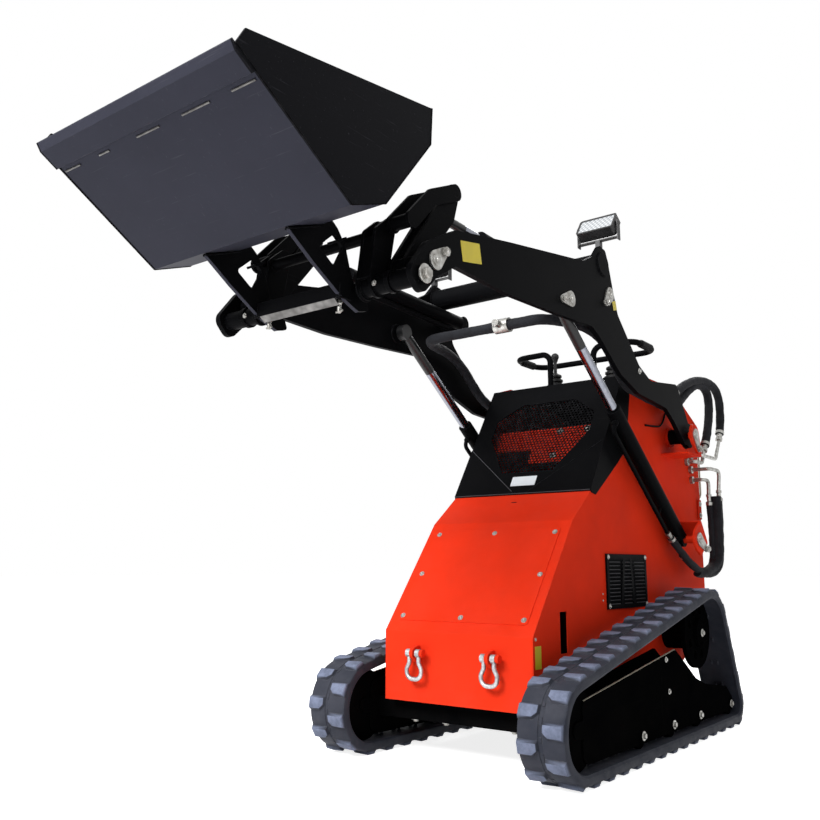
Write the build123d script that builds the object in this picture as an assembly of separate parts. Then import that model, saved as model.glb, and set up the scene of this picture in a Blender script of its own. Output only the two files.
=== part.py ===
"""Compact walk-behind track loader with a loader bucket, built in build123d.

Millimetres, +Z up, the machine's front faces -Y and its left side is +X. Stations along Y are
measured from the front foot of the tracks; the finished pieces are moved by originStation so that
the origin lies on the ground at the middle of the overall length and width.
"""
import os
from math import cos, hypot, radians, sin

from build123d import *

# ---- driving dimensions ------------------------------------------------------------------------
originStation = 269.3           # station of the origin

# clearances
seatGap = 0.3                   # between a piece and what carries it
pinGap = 0.3                    # radial clearance of a bore on its pin
sideGap = 2.0                   # between plates that turn beside each other

# tracks
trackInner = 360.0              # inner edge of a track from the centre plane
trackWidth = 170.0
beltThick = 22.0
lugHeight = 22.0
lugCount = 36                   # lugs in one row round the loop
lugBase = 62.0
lugTip = 40.0
lugReach = 70.0                 # width of one row of lugs
lugInset = 4.0
frontIdler = (22.0, 175.0)      # station, height
sprocket = (1233.0, 409.0)
rearIdler = (1484.0, 90.0)
sprocketRadius = 148.0
rollerStations = (516.0, 809.0, 1098.0)
sprocketDisc = 20.0
sprocketHoles = 8
sprocketHoleRadius = 19.0
sprocketHoleCircle = 98.0
hubRadius = 62.0
hubReach = 30.0
motorRadius = 70.0
wheelGap = 0.5                  # beside a wheel, between the frame's plates
grooveWidth = 34.0
grooveDepth = 12.0
axleRadius = 14.0
framePlate = 8.0
frameOuter = 492.0              # outer face of the track frame's outer plate
frameInner = 398.0              # inner face of its inner plate
crossTubeRadius = 28.0

# body
bodyHalf = 320.0
sheet = 4.0
nose = ((48.0, 202.0), (48.0, 453.0), (367.0, 863.0), (525.0, 982.0))
cowlTop = (862.0, 1500.0)
sideTop = 1540.0
sideTopFront = 1000.0
sideTopRear = 1430.0
bodyRear = 1740.0
bodyRearTop = 1400.0
bodyRearBottom = 420.0
bellyStation = 1250.0
bellyHeight = 202.0
floorThick = 12.0
slotStation = (244.0, 297.0)
slotHeight = (385.0, 531.0)
louvreStation = (630.0, 1015.0)
louvreHeight = (525.0, 740.0)
louvreBorder = 18.0
coverHalf = 283.0               # bolted cover on the nose's slope
coverThick = 3.0
coverRange = (47.0, 484.0)      # up the slope from the nose's fold
coverLap = 22.0                 # cover beyond the opening that it closes
cowlSheet = 3.0
cowlSide = ((528.0, 976.0), (564.0, 970.0), (773.0, 1110.0), (841.0, 1160.0), (900.0, 1300.0),
            (930.0, 1420.0), (925.0, 1500.0), (862.0, 1500.0))
cowlWindow = ((-120.0, 117.0), (120.0, 117.0), (240.0, 318.0), (240.0, 425.0), (132.0, 510.0),
              (-132.0, 510.0), (-240.0, 425.0), (-240.0, 318.0))  # across and up the slope
gussetFoot = (40.0, 15.0)       # corner gussets on the cowl's front sheet
gussetTop = 263.0
shroudDepth = 60.0              # inner panel behind the cowl's window
shroudRange = (215.0, 405.0)
shroudNotch = (-55.0, 290.0)
shroudSheet = 3.0
meshSheet = 2.0
meshBorder = 12.0
deckHeight = 1500.0
deckRearHeight = 1362.0
padSize = (580.0, 130.0, 410.0)  # operator's hip pad on the rear panel
padHeight = 1205.0
beamSize = (100.0, 72.0)        # front cross-member under the nose, deep and high
beamStation = 150.0

# controls: X, station and height above the deck
barRadius = 14.0                # bent handlebar
barStem = (112.0, 1030.0)
barHalf = 310.0
barReach = (1040.0, 1290.0)
barRise = 195.0
stickPlace = (150.0, 1150.0)
bootRadius = 54.0
bootRings = 5
bootRise = 118.0
leverRise = 205.0
knobRadius = 19.0

# tow lugs and shackles
lugPlace = (162.0, 30.0, 378.0)  # X, ahead of the nose, height
lugPlate = 14.0
shackleBar = 8.0
shackleHalf = 21.0              # centre of each side of the bow at the pin
shackleEye = 9.0                # half the width of each eye
shackleWide = 33.0
shackleDrop = 92.0

engineSize = (420.0, 560.0, 500.0)
engineStation = 850.0

# linkage pins: station, height
armPivot = (1370.0, 1290.0)
liftBase = (1345.0, 812.0)
liftPin = (213.0, 1665.0)
rockerPin = (-638.0, 1572.0)
bucketPin = (-700.0, 1513.0)
tiltRodPin = (-440.0, 1800.0)
linkRockerPin = (-414.0, 1882.0)
linkMountPin = (-643.0, 1718.0)
tiltBase = (555.0, 1767.0)
elbow = (501.0, 1880.0)

pinRadius = 17.0
armInner = 398.0
armThick = 20.0
armOuter = armInner + armThick
elbowTubeRadius = 47.0
horn = (508.0, 1952.0)          # top of the arm's elbow, under the lamp
armOutline = (
    (1345, 1377, 34), (1245, 1512, 40), (943, 1477, 90), (824, 1525, 60), (630, 1700, 60),
    (592, 1795, 80), (556, 1903, 40), (534, 1946, 16), (485, 1953, 14), (434, 1898, 60),
    (332, 1847, 40), (-218, 1756, 60), (-530, 1700, 60), (-675, 1621, 60), (-762, 1513, 34),
    (-702, 1449, 30), (-625, 1526, 60), (-530, 1583, 40), (-222, 1573, 60), (90, 1584, 60),
    (391, 1600, 60), (458, 1569, 40), (635, 1455, 80), (809, 1402, 60), (1105, 1382, 60),
    (1190, 1335, 50), (1322, 1236, 30), (1405, 1290, 20))

# cylinders
liftAxis = 362.0                # X of the lift cylinders
liftTubeRadius = 31.0
liftRodRadius = 21.0
liftTubeLength = 850.0
liftRodInside = 430.0           # rod inside the tube at rest
liftBossRise = 4.0
tiltAxis = 300.0                # X of the tilt linkage
tiltTubeRadius = 29.0
tiltRodRadius = 16.0
tiltTubeLength = 770.0
tiltRodInside = 470.0
eyeRadius = 33.0
eyeHalf = 17.0
tubeWall = 14.0
rockerPlate = 12.0
rockerInner = eyeHalf + sideGap
rockerOuter = rockerInner + rockerPlate
linkPlate = 10.0
linkInner = rockerOuter + sideGap
linkOuter = linkInner + linkPlate

# brackets
retainerPlate = 6.0             # pear-shaped plates that keep the pins
retainerBig = 30.0
retainerSmall = 15.0
bracketPlate = 10.0
bracketOuter = 446.0

# bucket
bucketHalf = 418.0
bucketPlate = 6.0
bucketLip = (-1415.0, 1876.0)
bucketLipTop = (-1386.0, 1927.0)
bucketRearTop = (-649.0, 2047.0)
bucketRearMid = (-657.0, 1928.0)
bucketRearLow = (-866.0, 1670.0)
bucketHeel = (-1005.0, 1620.0)
edgeWidth = 75.0
edgeThick = 12.0
ribStation = 180.0
ribPlate = 10.0
sleeveRadius = 30.0
sleeveInner = 200.0
sleeveOuter = 316.0
earPlate = 10.0
mountTubeRadius = 24.0          # between the sleeves, on the bucket pins' axis
bucketBar = (-765.0, 1492.0)    # bar between the ribs
bucketBarSize = (50.0, 44.0)
crossBar = (-690.0, 1676.0)
crossBarRadius = 18.0
hubRadiusRocker = 30.0
linkPinRadius = 15.0
linkSpacerRadius = 22.0

# lamps on the arms' elbows
lampSize = (160.0, 45.0, 90.0)
lampTilt = 35.0
lampRise = 82.0                 # lamp's centre above the horn's top
lampBack = -10.0
lensSheet = 4.0
lampRim = 8.0

# hoses and hard lines
hoseRadius = 22.0
armHoseX = 352.0
armHoseRun = ((1130.0, 1424.0), (800.0, 1446.0))  # straight run that the arm's clips hold
hoseClips = (1060.0, 880.0)
crossHose = (262.0, 1628.0)     # run between the arms
teePlace = 95.0                 # its tee's distance from the centre plane
lineRadius = 9.0                # hard line beside each lift cylinder
lineOffset = 76.0
lineRange = (150.0, 800.0)
portRadius = 13.0
basePort = 45.0                 # base port's distance from the lift cylinder's lower pin
outlets = ((1625.0, 1226.0), (1573.0, 1192.0), (1620.0, 1158.0), (1625.0, 1108.0))
outerLoop = ((385.0, 1884.0, 1329.0), (385.0, 1945.0, 1420.0), (385.0, 1925.0, 1640.0),
             (372.0, 1500.0, 1650.0), (368.0, 1300.0, 1470.0))
innerLoop = ((370.0, 1692.0, 1254.0), (370.0, 1785.0, 1430.0), (370.0, 1775.0, 1600.0),
             (368.0, 1490.0, 1562.0), (366.0, 1310.0, 1402.0))
bundleTops = ((420.0, 1728.0, 1060.0), (384.0, 1686.0, 1040.0))
bundleLow = (1640.0, 690.0)
bundleBends = ((396.0, 1300.0), (374.0, 1378.0))
fittingRadius = 9.0

# platform
platformPivot = (1778.0, 330.0)
platformHalf = 250.0
platformReach = 420.0
platformThick = 28.0
platformEdge = 5.0
platformFoot = 60.0             # the plate's lower edge above the hinge
hingeLug = 225.0                # inner face of each hinge lug from the centre plane
hingePlate = 10.0
hingePin = 10.0


# ---- helpers -----------------------------------------------------------------------------------
def plateX(points, x0, x1):
    """A flat plate whose outline is given in station and height."""
    return extrude(Plane.YZ.offset(x0) * Polygon(*points, align=None), x1 - x0, dir=(1, 0, 0))


def barX(centre, radius, x0, x1):
    """A round bar along X."""
    return extrude(Plane.YZ.offset(x0) * Pos(*centre) * Circle(radius), x1 - x0)


def ringX(centre, radius, bore, x0, x1):
    """A round sleeve along X."""
    return barX(centre, radius, x0, x1) - barX(centre, bore, x0, x1)


def rodBetween(start, end, radius, x):
    """A round bar in the plane X = x from one point to another, given in station and height."""
    run = Vector(0, end[0] - start[0], end[1] - start[1])
    return extrude(Plane(Vector(x, *start), z_dir=run) * Circle(radius), run.length)


def along(start, end, distance):
    """The point at a distance from start towards end."""
    length = hypot(end[0] - start[0], end[1] - start[1])
    share = distance / length
    return (start[0] + (end[0] - start[0]) * share, start[1] + (end[1] - start[1]) * share)


def hullOf(circles):
    """The convex outline round circles, each a centre and a radius."""
    edges = [(Pos(*centre) * Circle(radius)).edge() for centre, radius in circles]
    return make_hull(edges)


def hullX(circles, x0, x1):
    """A plate whose outline is the convex hull of circles."""
    return extrude(Plane.YZ.offset(x0) * hullOf(circles), x1 - x0, dir=(1, 0, 0))


def roundedX(points, x0, x1):
    """A plate along X whose corners, given as (station, height, radius), are rounded."""
    line = FilletPolyline(*[(y, z) for y, z, _ in points], radius=[r for _, _, r in points],
                          close=True)
    return extrude(Plane.YZ.offset(x0) * make_face(line), x1 - x0, dir=(1, 0, 0))


def tubeAlong(points, radii, radius):
    """A tube along straight runs joined by arcs."""
    path = FilletPolyline(*points, radius=radii)
    return sweep((path ^ 0) * Circle(radius), path=path)


def slopePlane(foot, top):
    """A plane on a sheet across the machine: origin at its foot, y up the slope, z outwards."""
    rise = Vector(0, *top) - Vector(0, *foot)
    return Plane(origin=Vector(0, *foot), x_dir=(1, 0, 0), z_dir=Vector(1, 0, 0).cross(rise))


def foldedFace(points, thick):
    """The section of a folded sheet to the right of its line of points, mitred at each fold."""
    runs = [(Vector(*end) - Vector(*start)).normalized() for start, end in zip(points, points[1:])]
    inner = []
    for index, point in enumerate(points):
        before, after = runs[max(index - 1, 0)], runs[min(index, len(runs) - 1)]
        sideBefore, sideAfter = Vector(before.Y, -before.X), Vector(after.Y, -after.X)
        reach = thick / (1 + sideBefore.dot(sideAfter))
        inner.append(Vector(*point) + (sideBefore + sideAfter) * reach)
    return Polygon(*points, *[(p.X, p.Y) for p in reversed(inner)], align=None)


def sheetAlong(points, thick, half):
    """A folded sheet across the machine: its outer face follows the points."""
    return extrude(Plane.YZ.offset(-half) * foldedFace(points, thick), 2 * half, dir=(1, 0, 0))


def bothSides(shape):
    """A shape and its mirror image across the centre plane."""
    return {"left": shape, "right": mirror(shape, about=Plane.YZ)}


nodes = {}


def keep(name, shape):
    nodes[name] = shape


def keepPair(name, shape):
    for side, piece in bothSides(shape).items():
        keep(f"{name}_{side}", piece)


# ---- tracks ------------------------------------------------------------------------------------
def wheelRadii():
    """Front idler, sprocket and rear idler: centre and the radius that the belt runs on."""
    frontRadius = frontIdler[1] - lugHeight - beltThick
    rearRadius = rearIdler[1] - lugHeight - beltThick
    return ((frontIdler, frontRadius), (sprocket, sprocketRadius), (rearIdler, rearRadius))


def makeTrack():
    inner = hullOf(wheelRadii())
    outer = hullOf([(centre, radius + beltThick) for centre, radius in wheelRadii()])
    belt = extrude(Plane.YZ.offset(trackInner) * (outer - inner), trackWidth)
    line = outer.face().outer_wire()
    sink = 3.0
    rows = (trackInner + lugInset, trackInner + trackWidth - lugInset - lugReach)
    for row, x in enumerate(rows):
        lugs = []
        for index in range(lugCount):
            share = ((index + 0.5 * row) / lugCount) % 1.0
            point = line.position_at(share)
            run = line.tangent_at(share)
            out = Vector(run.Y, -run.X, 0)
            if (point - Vector(*frontIdler) * 0.5 - Vector(*rearIdler) * 0.5).dot(out) < 0:
                out = out * -1
            foot = point - out * sink
            head = point + out * lugHeight
            corners = (foot - run * lugBase / 2, foot + run * lugBase / 2,
                       head + run * lugTip / 2, head - run * lugTip / 2)
            lugs.append(Polygon(*[(c.X, c.Y) for c in corners], align=None))
            belt = belt + [extrude(Plane.YZ.offset(x) * lug, lugReach) for lug in lugs]
    return belt - Pos(trackInner + trackWidth / 2, rearIdler[0] / 2, -lugHeight) * Box(
        2 * trackWidth, 3 * rearIdler[0], 2 * lugHeight)


def makeWheel(centre, radius):
    """A wheel with a groove round its middle, on the track's centre line."""
    middle = trackInner + trackWidth / 2
    wheel = ringX(centre, radius - seatGap, axleRadius + seatGap,
                  frameInner + framePlate + wheelGap, frameOuter - framePlate - wheelGap)
    return wheel - ringX(centre, radius, radius - grooveDepth,
                         middle - grooveWidth / 2, middle + grooveWidth / 2)


def makeWheels():
    """Front and rear idlers and the bottom rollers of one track."""
    (front, frontRadius), _, (rear, rearRadius) = wheelRadii()
    wheels = [makeWheel(front, frontRadius), makeWheel(rear, rearRadius)]
    wheels += [makeWheel((station, rear[1]), rearRadius) for station in rollerStations]
    return Compound(wheels)


def makeSprocket():
    """Drive sprocket with lightening holes on its hub, and the hydraulic motor behind it."""
    middle = trackInner + trackWidth / 2
    disc = barX(sprocket, sprocketRadius - seatGap, middle - sprocketDisc / 2,
                middle + sprocketDisc / 2)
    for index in range(sprocketHoles):
        turn = radians(360 / sprocketHoles * (index + 0.5))
        hole = (sprocket[0] + sprocketHoleCircle * cos(turn),
                sprocket[1] + sprocketHoleCircle * sin(turn))
        disc -= barX(hole, sprocketHoleRadius, middle - sprocketDisc, middle + sprocketDisc)
    disc += barX(sprocket, hubRadius, middle, middle + hubReach)
    return disc + barX(sprocket, motorRadius, bodyHalf + seatGap, middle)


def makeTrackFrame():
    """Two side plates, the wheels' axles between them and the stays to the body."""
    front, rear = frontIdler, rearIdler
    bottom = rear[1] - 28
    outline = ((front[0] + 33, bottom, 40), (front[0] + 38, front[1] + 85, 25),
               (sprocket[0] - 358, sprocket[1] - 43, 12), (sprocket[0] - 150, sprocket[1] - 172, 60),
               (sprocket[0] - 40, rear[1] + 112, 40), (rear[0] - 40, rear[1] + 80, 60),
               (rear[0] + 33, rear[1] + 25, 16), (rear[0] + 30, bottom, 14))
    frame = None
    for x in (frameInner, frameOuter - framePlate):
        plate = roundedX(outline, x, x + framePlate)
        frame = plate if frame is None else frame + plate
    axles = [front, rear] + [(station, rear[1]) for station in rollerStations]
    frame = frame + [barX(axle, axleRadius, frameInner, frameOuter + 6) for axle in axles[1:]]
    frame += barX(front, axleRadius, frameInner, frameOuter - framePlate)
    yoke = ((front, 26.0), ((front[0] + 120, front[1] - 10), 30.0))
    for x in (frameInner, frameOuter - framePlate):
        frame += hullX(yoke, x, x + framePlate)
    stays = ((420.0, 190.0), (900.0, 190.0))
    return frame + [barX(stay, crossTubeRadius, bodyHalf + seatGap, frameOuter - framePlate)
                    for stay in stays]


keepPair("track", makeTrack())
keepPair("track_wheels", makeWheels())
keepPair("sprocket", makeSprocket())
keepPair("track_frame", makeTrackFrame())


# ---- body --------------------------------------------------------------------------------------
def sideOutline():
    return (nose[0], nose[1], nose[2], nose[3], cowlTop, (sideTopFront, sideTop),
            (sideTopRear, sideTop), (bodyRear, bodyRearTop), (bodyRear, bodyRearBottom),
            (bellyStation, bellyHeight))


def makeSidePanel():
    """Side sheet with the louvre's opening and the narrow slot behind the nose."""
    x0, x1 = bodyHalf - sheet, bodyHalf
    panel = plateX(sideOutline(), x0, x1)
    hole = Pos((x0 + x1) / 2, sum(louvreStation) / 2, sum(louvreHeight) / 2) * Box(
        sheet * 3, louvreStation[1] - louvreStation[0] - 2 * louvreBorder,
        louvreHeight[1] - louvreHeight[0] - 2 * louvreBorder)
    slot = Pos((x0 + x1) / 2, sum(slotStation) / 2, sum(slotHeight) / 2) * Box(
        sheet * 3, slotStation[1] - slotStation[0], slotHeight[1] - slotHeight[0])
    return panel - hole - slot


def makeLouvre():
    """Vent cover outside the side sheet: a frame, level slats and two slanted bars."""
    x0 = bodyHalf + seatGap
    depth = 8.0
    slatCount = 12
    y0, y1 = louvreStation
    z0, z1 = louvreHeight
    middleY, middleZ = (y0 + y1) / 2, (z0 + z1) / 2
    place = Pos(x0 + depth / 2, middleY, middleZ)
    frame = place * Box(depth, y1 - y0, z1 - z0)
    frame -= place * Box(depth * 3, y1 - y0 - 2 * louvreBorder, z1 - z0 - 2 * louvreBorder)
    openZ = z1 - z0 - 2 * louvreBorder
    pitch = openZ / slatCount
    slats = []
    for index in range(slatCount):
        height = z0 + louvreBorder + pitch * (index + 0.5)
        slats.append(Pos(x0 + depth / 2, middleY, height) * Rot(0, 25, 0) * Box(
            1.5, y1 - y0 - 2 * louvreBorder + 2, pitch * 0.8))
    frame = frame + slats
    for sign in (-1, 1):
        frame += plateX(((middleY + sign * 60 - 9, z0 + 4), (middleY + sign * 60 + 9, z0 + 4),
                         (middleY + sign * 30 + 9, z1 - 4), (middleY + sign * 30 - 9, z1 - 4)),
                        x0, x0 + depth)
    return frame


def makeNose():
    """Folded sheet of the nose, with the opening behind its bolted cover."""
    plane = slopePlane(nose[1], nose[2])
    low, high = coverRange
    opening = plane * Pos(0, (low + high) / 2) * Rectangle(2 * (coverHalf - coverLap),
                                                          high - low - 2 * coverLap)
    return sheetAlong(nose, sheet, bodyHalf - sheet - seatGap) - extrude(opening, 20, both=True)


def makeNoseCover():
    plane = slopePlane(nose[1], nose[2]).offset(seatGap)
    low, high = coverRange
    return extrude(plane * Pos(0, (low + high) / 2) * RectangleRounded(
        2 * coverHalf, high - low, 14), coverThick)


def cowlPlane():
    """The plane that the cowl's front sheet lies on."""
    return slopePlane(nose[3], cowlTop)


def makeCowl():
    """Black cowl over the engine: a front sheet with a window, and side plates over the body."""
    plane = cowlPlane()
    rise = hypot(cowlTop[0] - nose[3][0], cowlTop[1] - nose[3][1])
    half = bodyHalf + seatGap + cowlSheet
    front = plane.offset(seatGap) * Pos(0, rise / 2) * Rectangle(2 * half, rise)
    cowl = extrude(front, cowlSheet)
    cowl -= extrude(plane * Polygon(*cowlWindow, align=None), 20, both=True)
    out = plane.z_dir * (seatGap + cowlSheet)
    for sign in (-1, 1):
        gusset = Polygon((sign * gussetFoot[0], gussetFoot[1]), (sign * half, gussetTop),
                         (sign * half, 4), (sign * gussetFoot[0], 4), align=None)
        cowl += extrude(plane.offset(seatGap + cowlSheet) * gusset, cowlSheet, dir=plane.z_dir)
    outline = [(nose[3][0] + out.Y, nose[3][1] + out.Z), *cowlSide,
               (cowlTop[0] + out.Y, cowlTop[1] + out.Z)]
    for x0 in (bodyHalf + seatGap, -half):
        cowl += plateX(outline, x0, x0 + cowlSheet)
    return cowl


def makeMesh():
    """Perforated sheet behind the cowl's window."""
    width = max(x for x, _ in cowlWindow) - min(x for x, _ in cowlWindow) + 2 * meshBorder
    height = max(y for _, y in cowlWindow) - min(y for _, y in cowlWindow) + 2 * meshBorder
    middleX = (max(x for x, _ in cowlWindow) + min(x for x, _ in cowlWindow)) / 2
    middleY = (max(y for _, y in cowlWindow) + min(y for _, y in cowlWindow)) / 2
    sheetPlane = cowlPlane().offset(-meshSheet)
    return extrude(sheetPlane * Pos(middleX, middleY) * Rectangle(width, height), meshSheet)


def makeShroud():
    """Inner panel between the side sheets, seen through the cowl's window."""
    half = bodyHalf - sheet - seatGap
    low, high = shroudRange
    face = Polygon((-half, shroudNotch[1]), (shroudNotch[0], shroudNotch[1]),
                   (shroudNotch[0], low), (half, low), (half, high), (-half, high), align=None)
    plane = cowlPlane().offset(-shroudDepth)
    return extrude(plane * face, shroudSheet, dir=plane.z_dir)


def makeRearPanel():
    return Pos(0, bodyRear - sheet / 2, (bodyRearTop + bodyRearBottom) / 2) * Box(
        2 * (bodyHalf - sheet - seatGap), sheet, bodyRearTop - bodyRearBottom)


def makePad():
    """Operator's hip pad on the rear panel."""
    pad = Pos(0, bodyRear + seatGap + padSize[1] / 2, padHeight) * Box(*padSize)
    rear = pad.faces().sort_by(Axis.Y)[-1]
    pad = fillet(rear.edges(), padSize[1] * 0.4)
    return pad


def makeBelly():
    """Floor of the body, the cross-member under the nose and the lugs of the platform's hinge."""
    half = bodyHalf - sheet - seatGap
    front, rear = nose[0][0] + sheet + seatGap, bodyRear - sheet - seatGap
    slope = (bodyRearBottom - bellyHeight) / (bodyRear - bellyStation)
    rearHeight = bellyHeight + slope * (rear - bellyStation)
    frame = plateX(((front, bellyHeight), (bellyStation, bellyHeight), (rear, rearHeight),
                    (rear, rearHeight + floorThick), (bellyStation, bellyHeight + floorThick),
                    (front, bellyHeight + floorThick)), -half, half)
    beamTop = bellyHeight - seatGap
    frame += Pos(0, beamStation, beamTop - beamSize[1] / 2) * Box(
        2 * (frameInner - seatGap), beamSize[0], beamSize[1])
    frame += Pos(0, beamStation, bellyHeight) * Box(2 * half - 40, beamSize[0] - 20, 2 * seatGap)
    for sign in (-1, 1):
        x0, x1 = sorted((sign * hingeLug, sign * (hingeLug + hingePlate)))
        frame += hullX(((platformPivot, 18.0), ((rear - 40, rearHeight + 5), 14.0)), x0, x1)
    return frame + barX(platformPivot, hingePin, -hingeLug - 1, hingeLug + 1)


def makeDeck():
    """Control deck between the side sheets, with its slope down to the rear panel."""
    front = cowlTop[0] + 14
    points = ((front, deckHeight), (sideTopRear, deckHeight),
              (bodyRear - sheet - seatGap, deckRearHeight))
    return sheetAlong(points, sheet, bodyHalf - sheet - seatGap)


def makeHandlebar():
    """One bent tube: two stems from the deck, a loop out to each side, joined at the rear."""
    base = deckHeight + seatGap
    grip = deckHeight + barRise
    stemX, stemY = barStem
    front, rear = barReach
    bend = 3.2 * barRadius
    half = tubeAlong(((stemX, stemY, base), (stemX, stemY, grip), (barHalf, front, grip),
                      (barHalf, rear, grip), (0, rear, grip)),
                     (bend, 1.4 * bend, 1.6 * bend), barRadius)
    half += Pos(stemX, stemY, base + 3) * Cylinder(2 * barRadius, 6)
    return half + mirror(half, about=Plane.YZ)


def makeSticks():
    """Two control levers, each with a bellows boot and a knob."""
    profile = [(0.0, 0.0), (bootRadius + 6, 0.0), (bootRadius + 6, 6.0), (bootRadius, 6.0)]
    top = 0.5 * bootRadius
    for index in range(bootRings):
        share = (index + 0.5) / bootRings
        width = bootRadius + (top - bootRadius) * share
        low = 8 + (bootRise - 8) * index / bootRings
        pitch = (bootRise - 8) / bootRings
        profile += [(width - 7, low), (width, low + 0.3 * pitch), (width, low + 0.7 * pitch)]
    profile += [(top - 6, bootRise), (8.0, bootRise + 8), (8.0, leverRise), (0.0, leverRise)]
    lever = revolve(Plane.XZ * Polygon(*profile, align=None), axis=Axis.Z)
    knob = Pos(0, 0, leverRise) * (Pos(0, 0, 2) * Sphere(knobRadius) + Pos(0, 0, -14) * Cone(
        10, knobRadius - 1, 24))
    stick = Pos(*stickPlace, deckHeight + seatGap) * (lever + knob)
    return Compound([stick, mirror(stick, about=Plane.YZ)])


def makeEngine():
    """The engine, pump and tanks as one plain block on the floor."""
    return Pos(0, engineStation, bellyHeight + floorThick + seatGap + engineSize[2] / 2) * Box(
        *engineSize)


def makeTowLugs():
    """Lugs on the nose, each with the pin of its shackle through it."""
    lugX, ahead, height = lugPlace
    pinY = nose[0][0] - ahead
    face = nose[0][0] - seatGap
    side = hullX((((pinY, height), 21.0), ((face - 10, height - 4), 30.0)),
                 lugX - lugPlate / 2, lugX + lugPlate / 2)
    side -= Pos(lugX, face + 50, height) * Box(40, 100, 120)
    side -= barX((pinY, height), shackleBar + 2 * pinGap, lugX - lugPlate, lugX + lugPlate)
    reach = shackleHalf + shackleEye
    bolt = barX((pinY, height), shackleBar, lugX - reach - 8, lugX + reach + 2)
    bolt += barX((pinY, height), 1.7 * shackleBar, lugX + reach + 1, lugX + reach + 14)
    return Compound([side, bolt, mirror(side, about=Plane.YZ), Pos(-2 * lugX, 0, 0) * bolt])


def makeShackles():
    """Bow shackles that hang from the lugs' pins."""
    lugX, ahead, height = lugPlace
    pinY = nose[0][0] - ahead
    low = height - shackleDrop
    side = ((shackleHalf, height - 11), (shackleHalf, height - 34), (shackleWide, height - 56),
            (shackleWide, low))
    points = [(lugX + x, pinY, z) for x, z in side]
    points += [(lugX - x, pinY, z) for x, z in reversed(side)]
    bow = tubeAlong(points, (16, 14, 27, 27, 14, 16), shackleBar)
    for sign in (-1, 1):
        middle = lugX + sign * shackleHalf
        bow += ringX((pinY, height), 1.9 * shackleBar, shackleBar + pinGap, middle - shackleEye,
                     middle + shackleEye)
    return Compound([bow, Pos(-2 * lugX, 0, 0) * bow])


keepPair("side_panel", makeSidePanel())
keep("nose_panel", makeNose())
keep("nose_cover", makeNoseCover())
keep("engine_cowl", makeCowl())
keep("cowl_mesh", makeMesh())
keep("louvres", Compound(list(bothSides(makeLouvre()).values())))
keep("shroud_panel", makeShroud())
keep("rear_panel", makeRearPanel())
keep("rear_pad", makePad())
keep("belly_frame", makeBelly())
keep("control_deck", makeDeck())
keep("handlebar", makeHandlebar())
keep("joysticks", makeSticks())
keep("engine_block", makeEngine())
keep("tow_lugs", makeTowLugs())
keep("shackles", makeShackles())


def makeBrackets():
    """Arm pivot bracket and lift cylinder bracket on one side of the body."""
    inner = bodyHalf + seatGap
    outer0, outer1 = bracketOuter - bracketPlate, bracketOuter
    upper = hullX(((armPivot, 52.0), ((armPivot[0] + 50, armPivot[1] - 68), 22.0)),
                  outer0, outer1)
    upper += barX(armPivot, pinRadius, inner, outer1)
    upper += ringX(armPivot, 2 * pinRadius, pinRadius - 1, inner, armInner - sideGap)
    upper += ringX(armPivot, 2.7 * pinRadius, pinRadius, inner, inner + 8)
    upper += plateX(((armPivot[0] - 105, armPivot[1] - 94), (armPivot[0] + 70, armPivot[1] - 94),
                     (armPivot[0] + 70, armPivot[1] - 86), (armPivot[0] - 105, armPivot[1] - 86)),
                    inner, outer1)
    lower = hullX(((liftBase, 56.0), ((liftBase[0] + 35, liftBase[1] + 75), 9.0),
                   ((liftBase[0] + 95, liftBase[1] - 12), 12.0),
                   ((liftBase[0] + 20, liftBase[1] - 60), 10.0)), outer0, outer1)
    lower += barX(liftBase, pinRadius, inner, outer1)
    rise = (liftBase[0] + 38, liftBase[1] + 84)
    fall = (liftBase[0] + 106, liftBase[1] - 8)
    lower += plateX((rise, (rise[0] - 8, rise[1] - 4), (fall[0] - 8, fall[1] - 4), fall),
                    inner, outer1)
    return Compound([upper, lower])


keepPair("pivot_brackets", makeBrackets())


# ---- arms --------------------------------------------------------------------------------------
def makeArm():
    """One lift arm: a single cut plate with its pivot end, pins and bosses."""
    arm = roundedX(armOutline, armInner, armOuter)
    arm += barX(armPivot, 58.0, armInner, armOuter)
    arm -= barX(armPivot, pinRadius + pinGap, armInner - 1, armOuter + 1)
    arm -= barX(elbow, elbowTubeRadius + seatGap, armInner - 1, armOuter + 1)
    arm += barX(tiltBase, pinRadius, tiltAxis - eyeHalf, armOuter)
    arm += ringX(tiltBase, 26.0, pinRadius - 1, tiltAxis + tiltTubeRadius + sideGap, armInner)
    arm += barX(rockerPin, pinRadius, tiltAxis - rockerOuter, armOuter)
    arm += barX(bucketPin, pinRadius, sleeveInner + earPlate + sideGap, armOuter + 4)
    arm += ringX(bucketPin, sleeveRadius, pinRadius - 1, sleeveOuter + sideGap, armInner)
    arm += barX(liftPin, 40.0, armInner - liftBossRise, armOuter)
    for station in hoseClips:
        clip = along(armHoseRun[0], armHoseRun[1], armHoseRun[0][0] - station)
        arm += barX(clip, 15.0, armHoseX + hoseRadius + seatGap, armInner)
    return arm


def makeArmTubes():
    """Elbow tube through both arms, with its end caps."""
    half = armOuter + 6
    tube = barX(elbow, elbowTubeRadius, -half, half)
    return tube - barX(elbow, elbowTubeRadius - 6, -armInner + 20, armInner - 20)


def lampPlace():
    """The lamp's own frame: the lens faces -Y, tilted up."""
    x = (armInner + armOuter) / 2
    return Pos(x, horn[0] + lampBack, horn[1] + lampRise) * Rot(-lampTilt, 0, 0)


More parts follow.
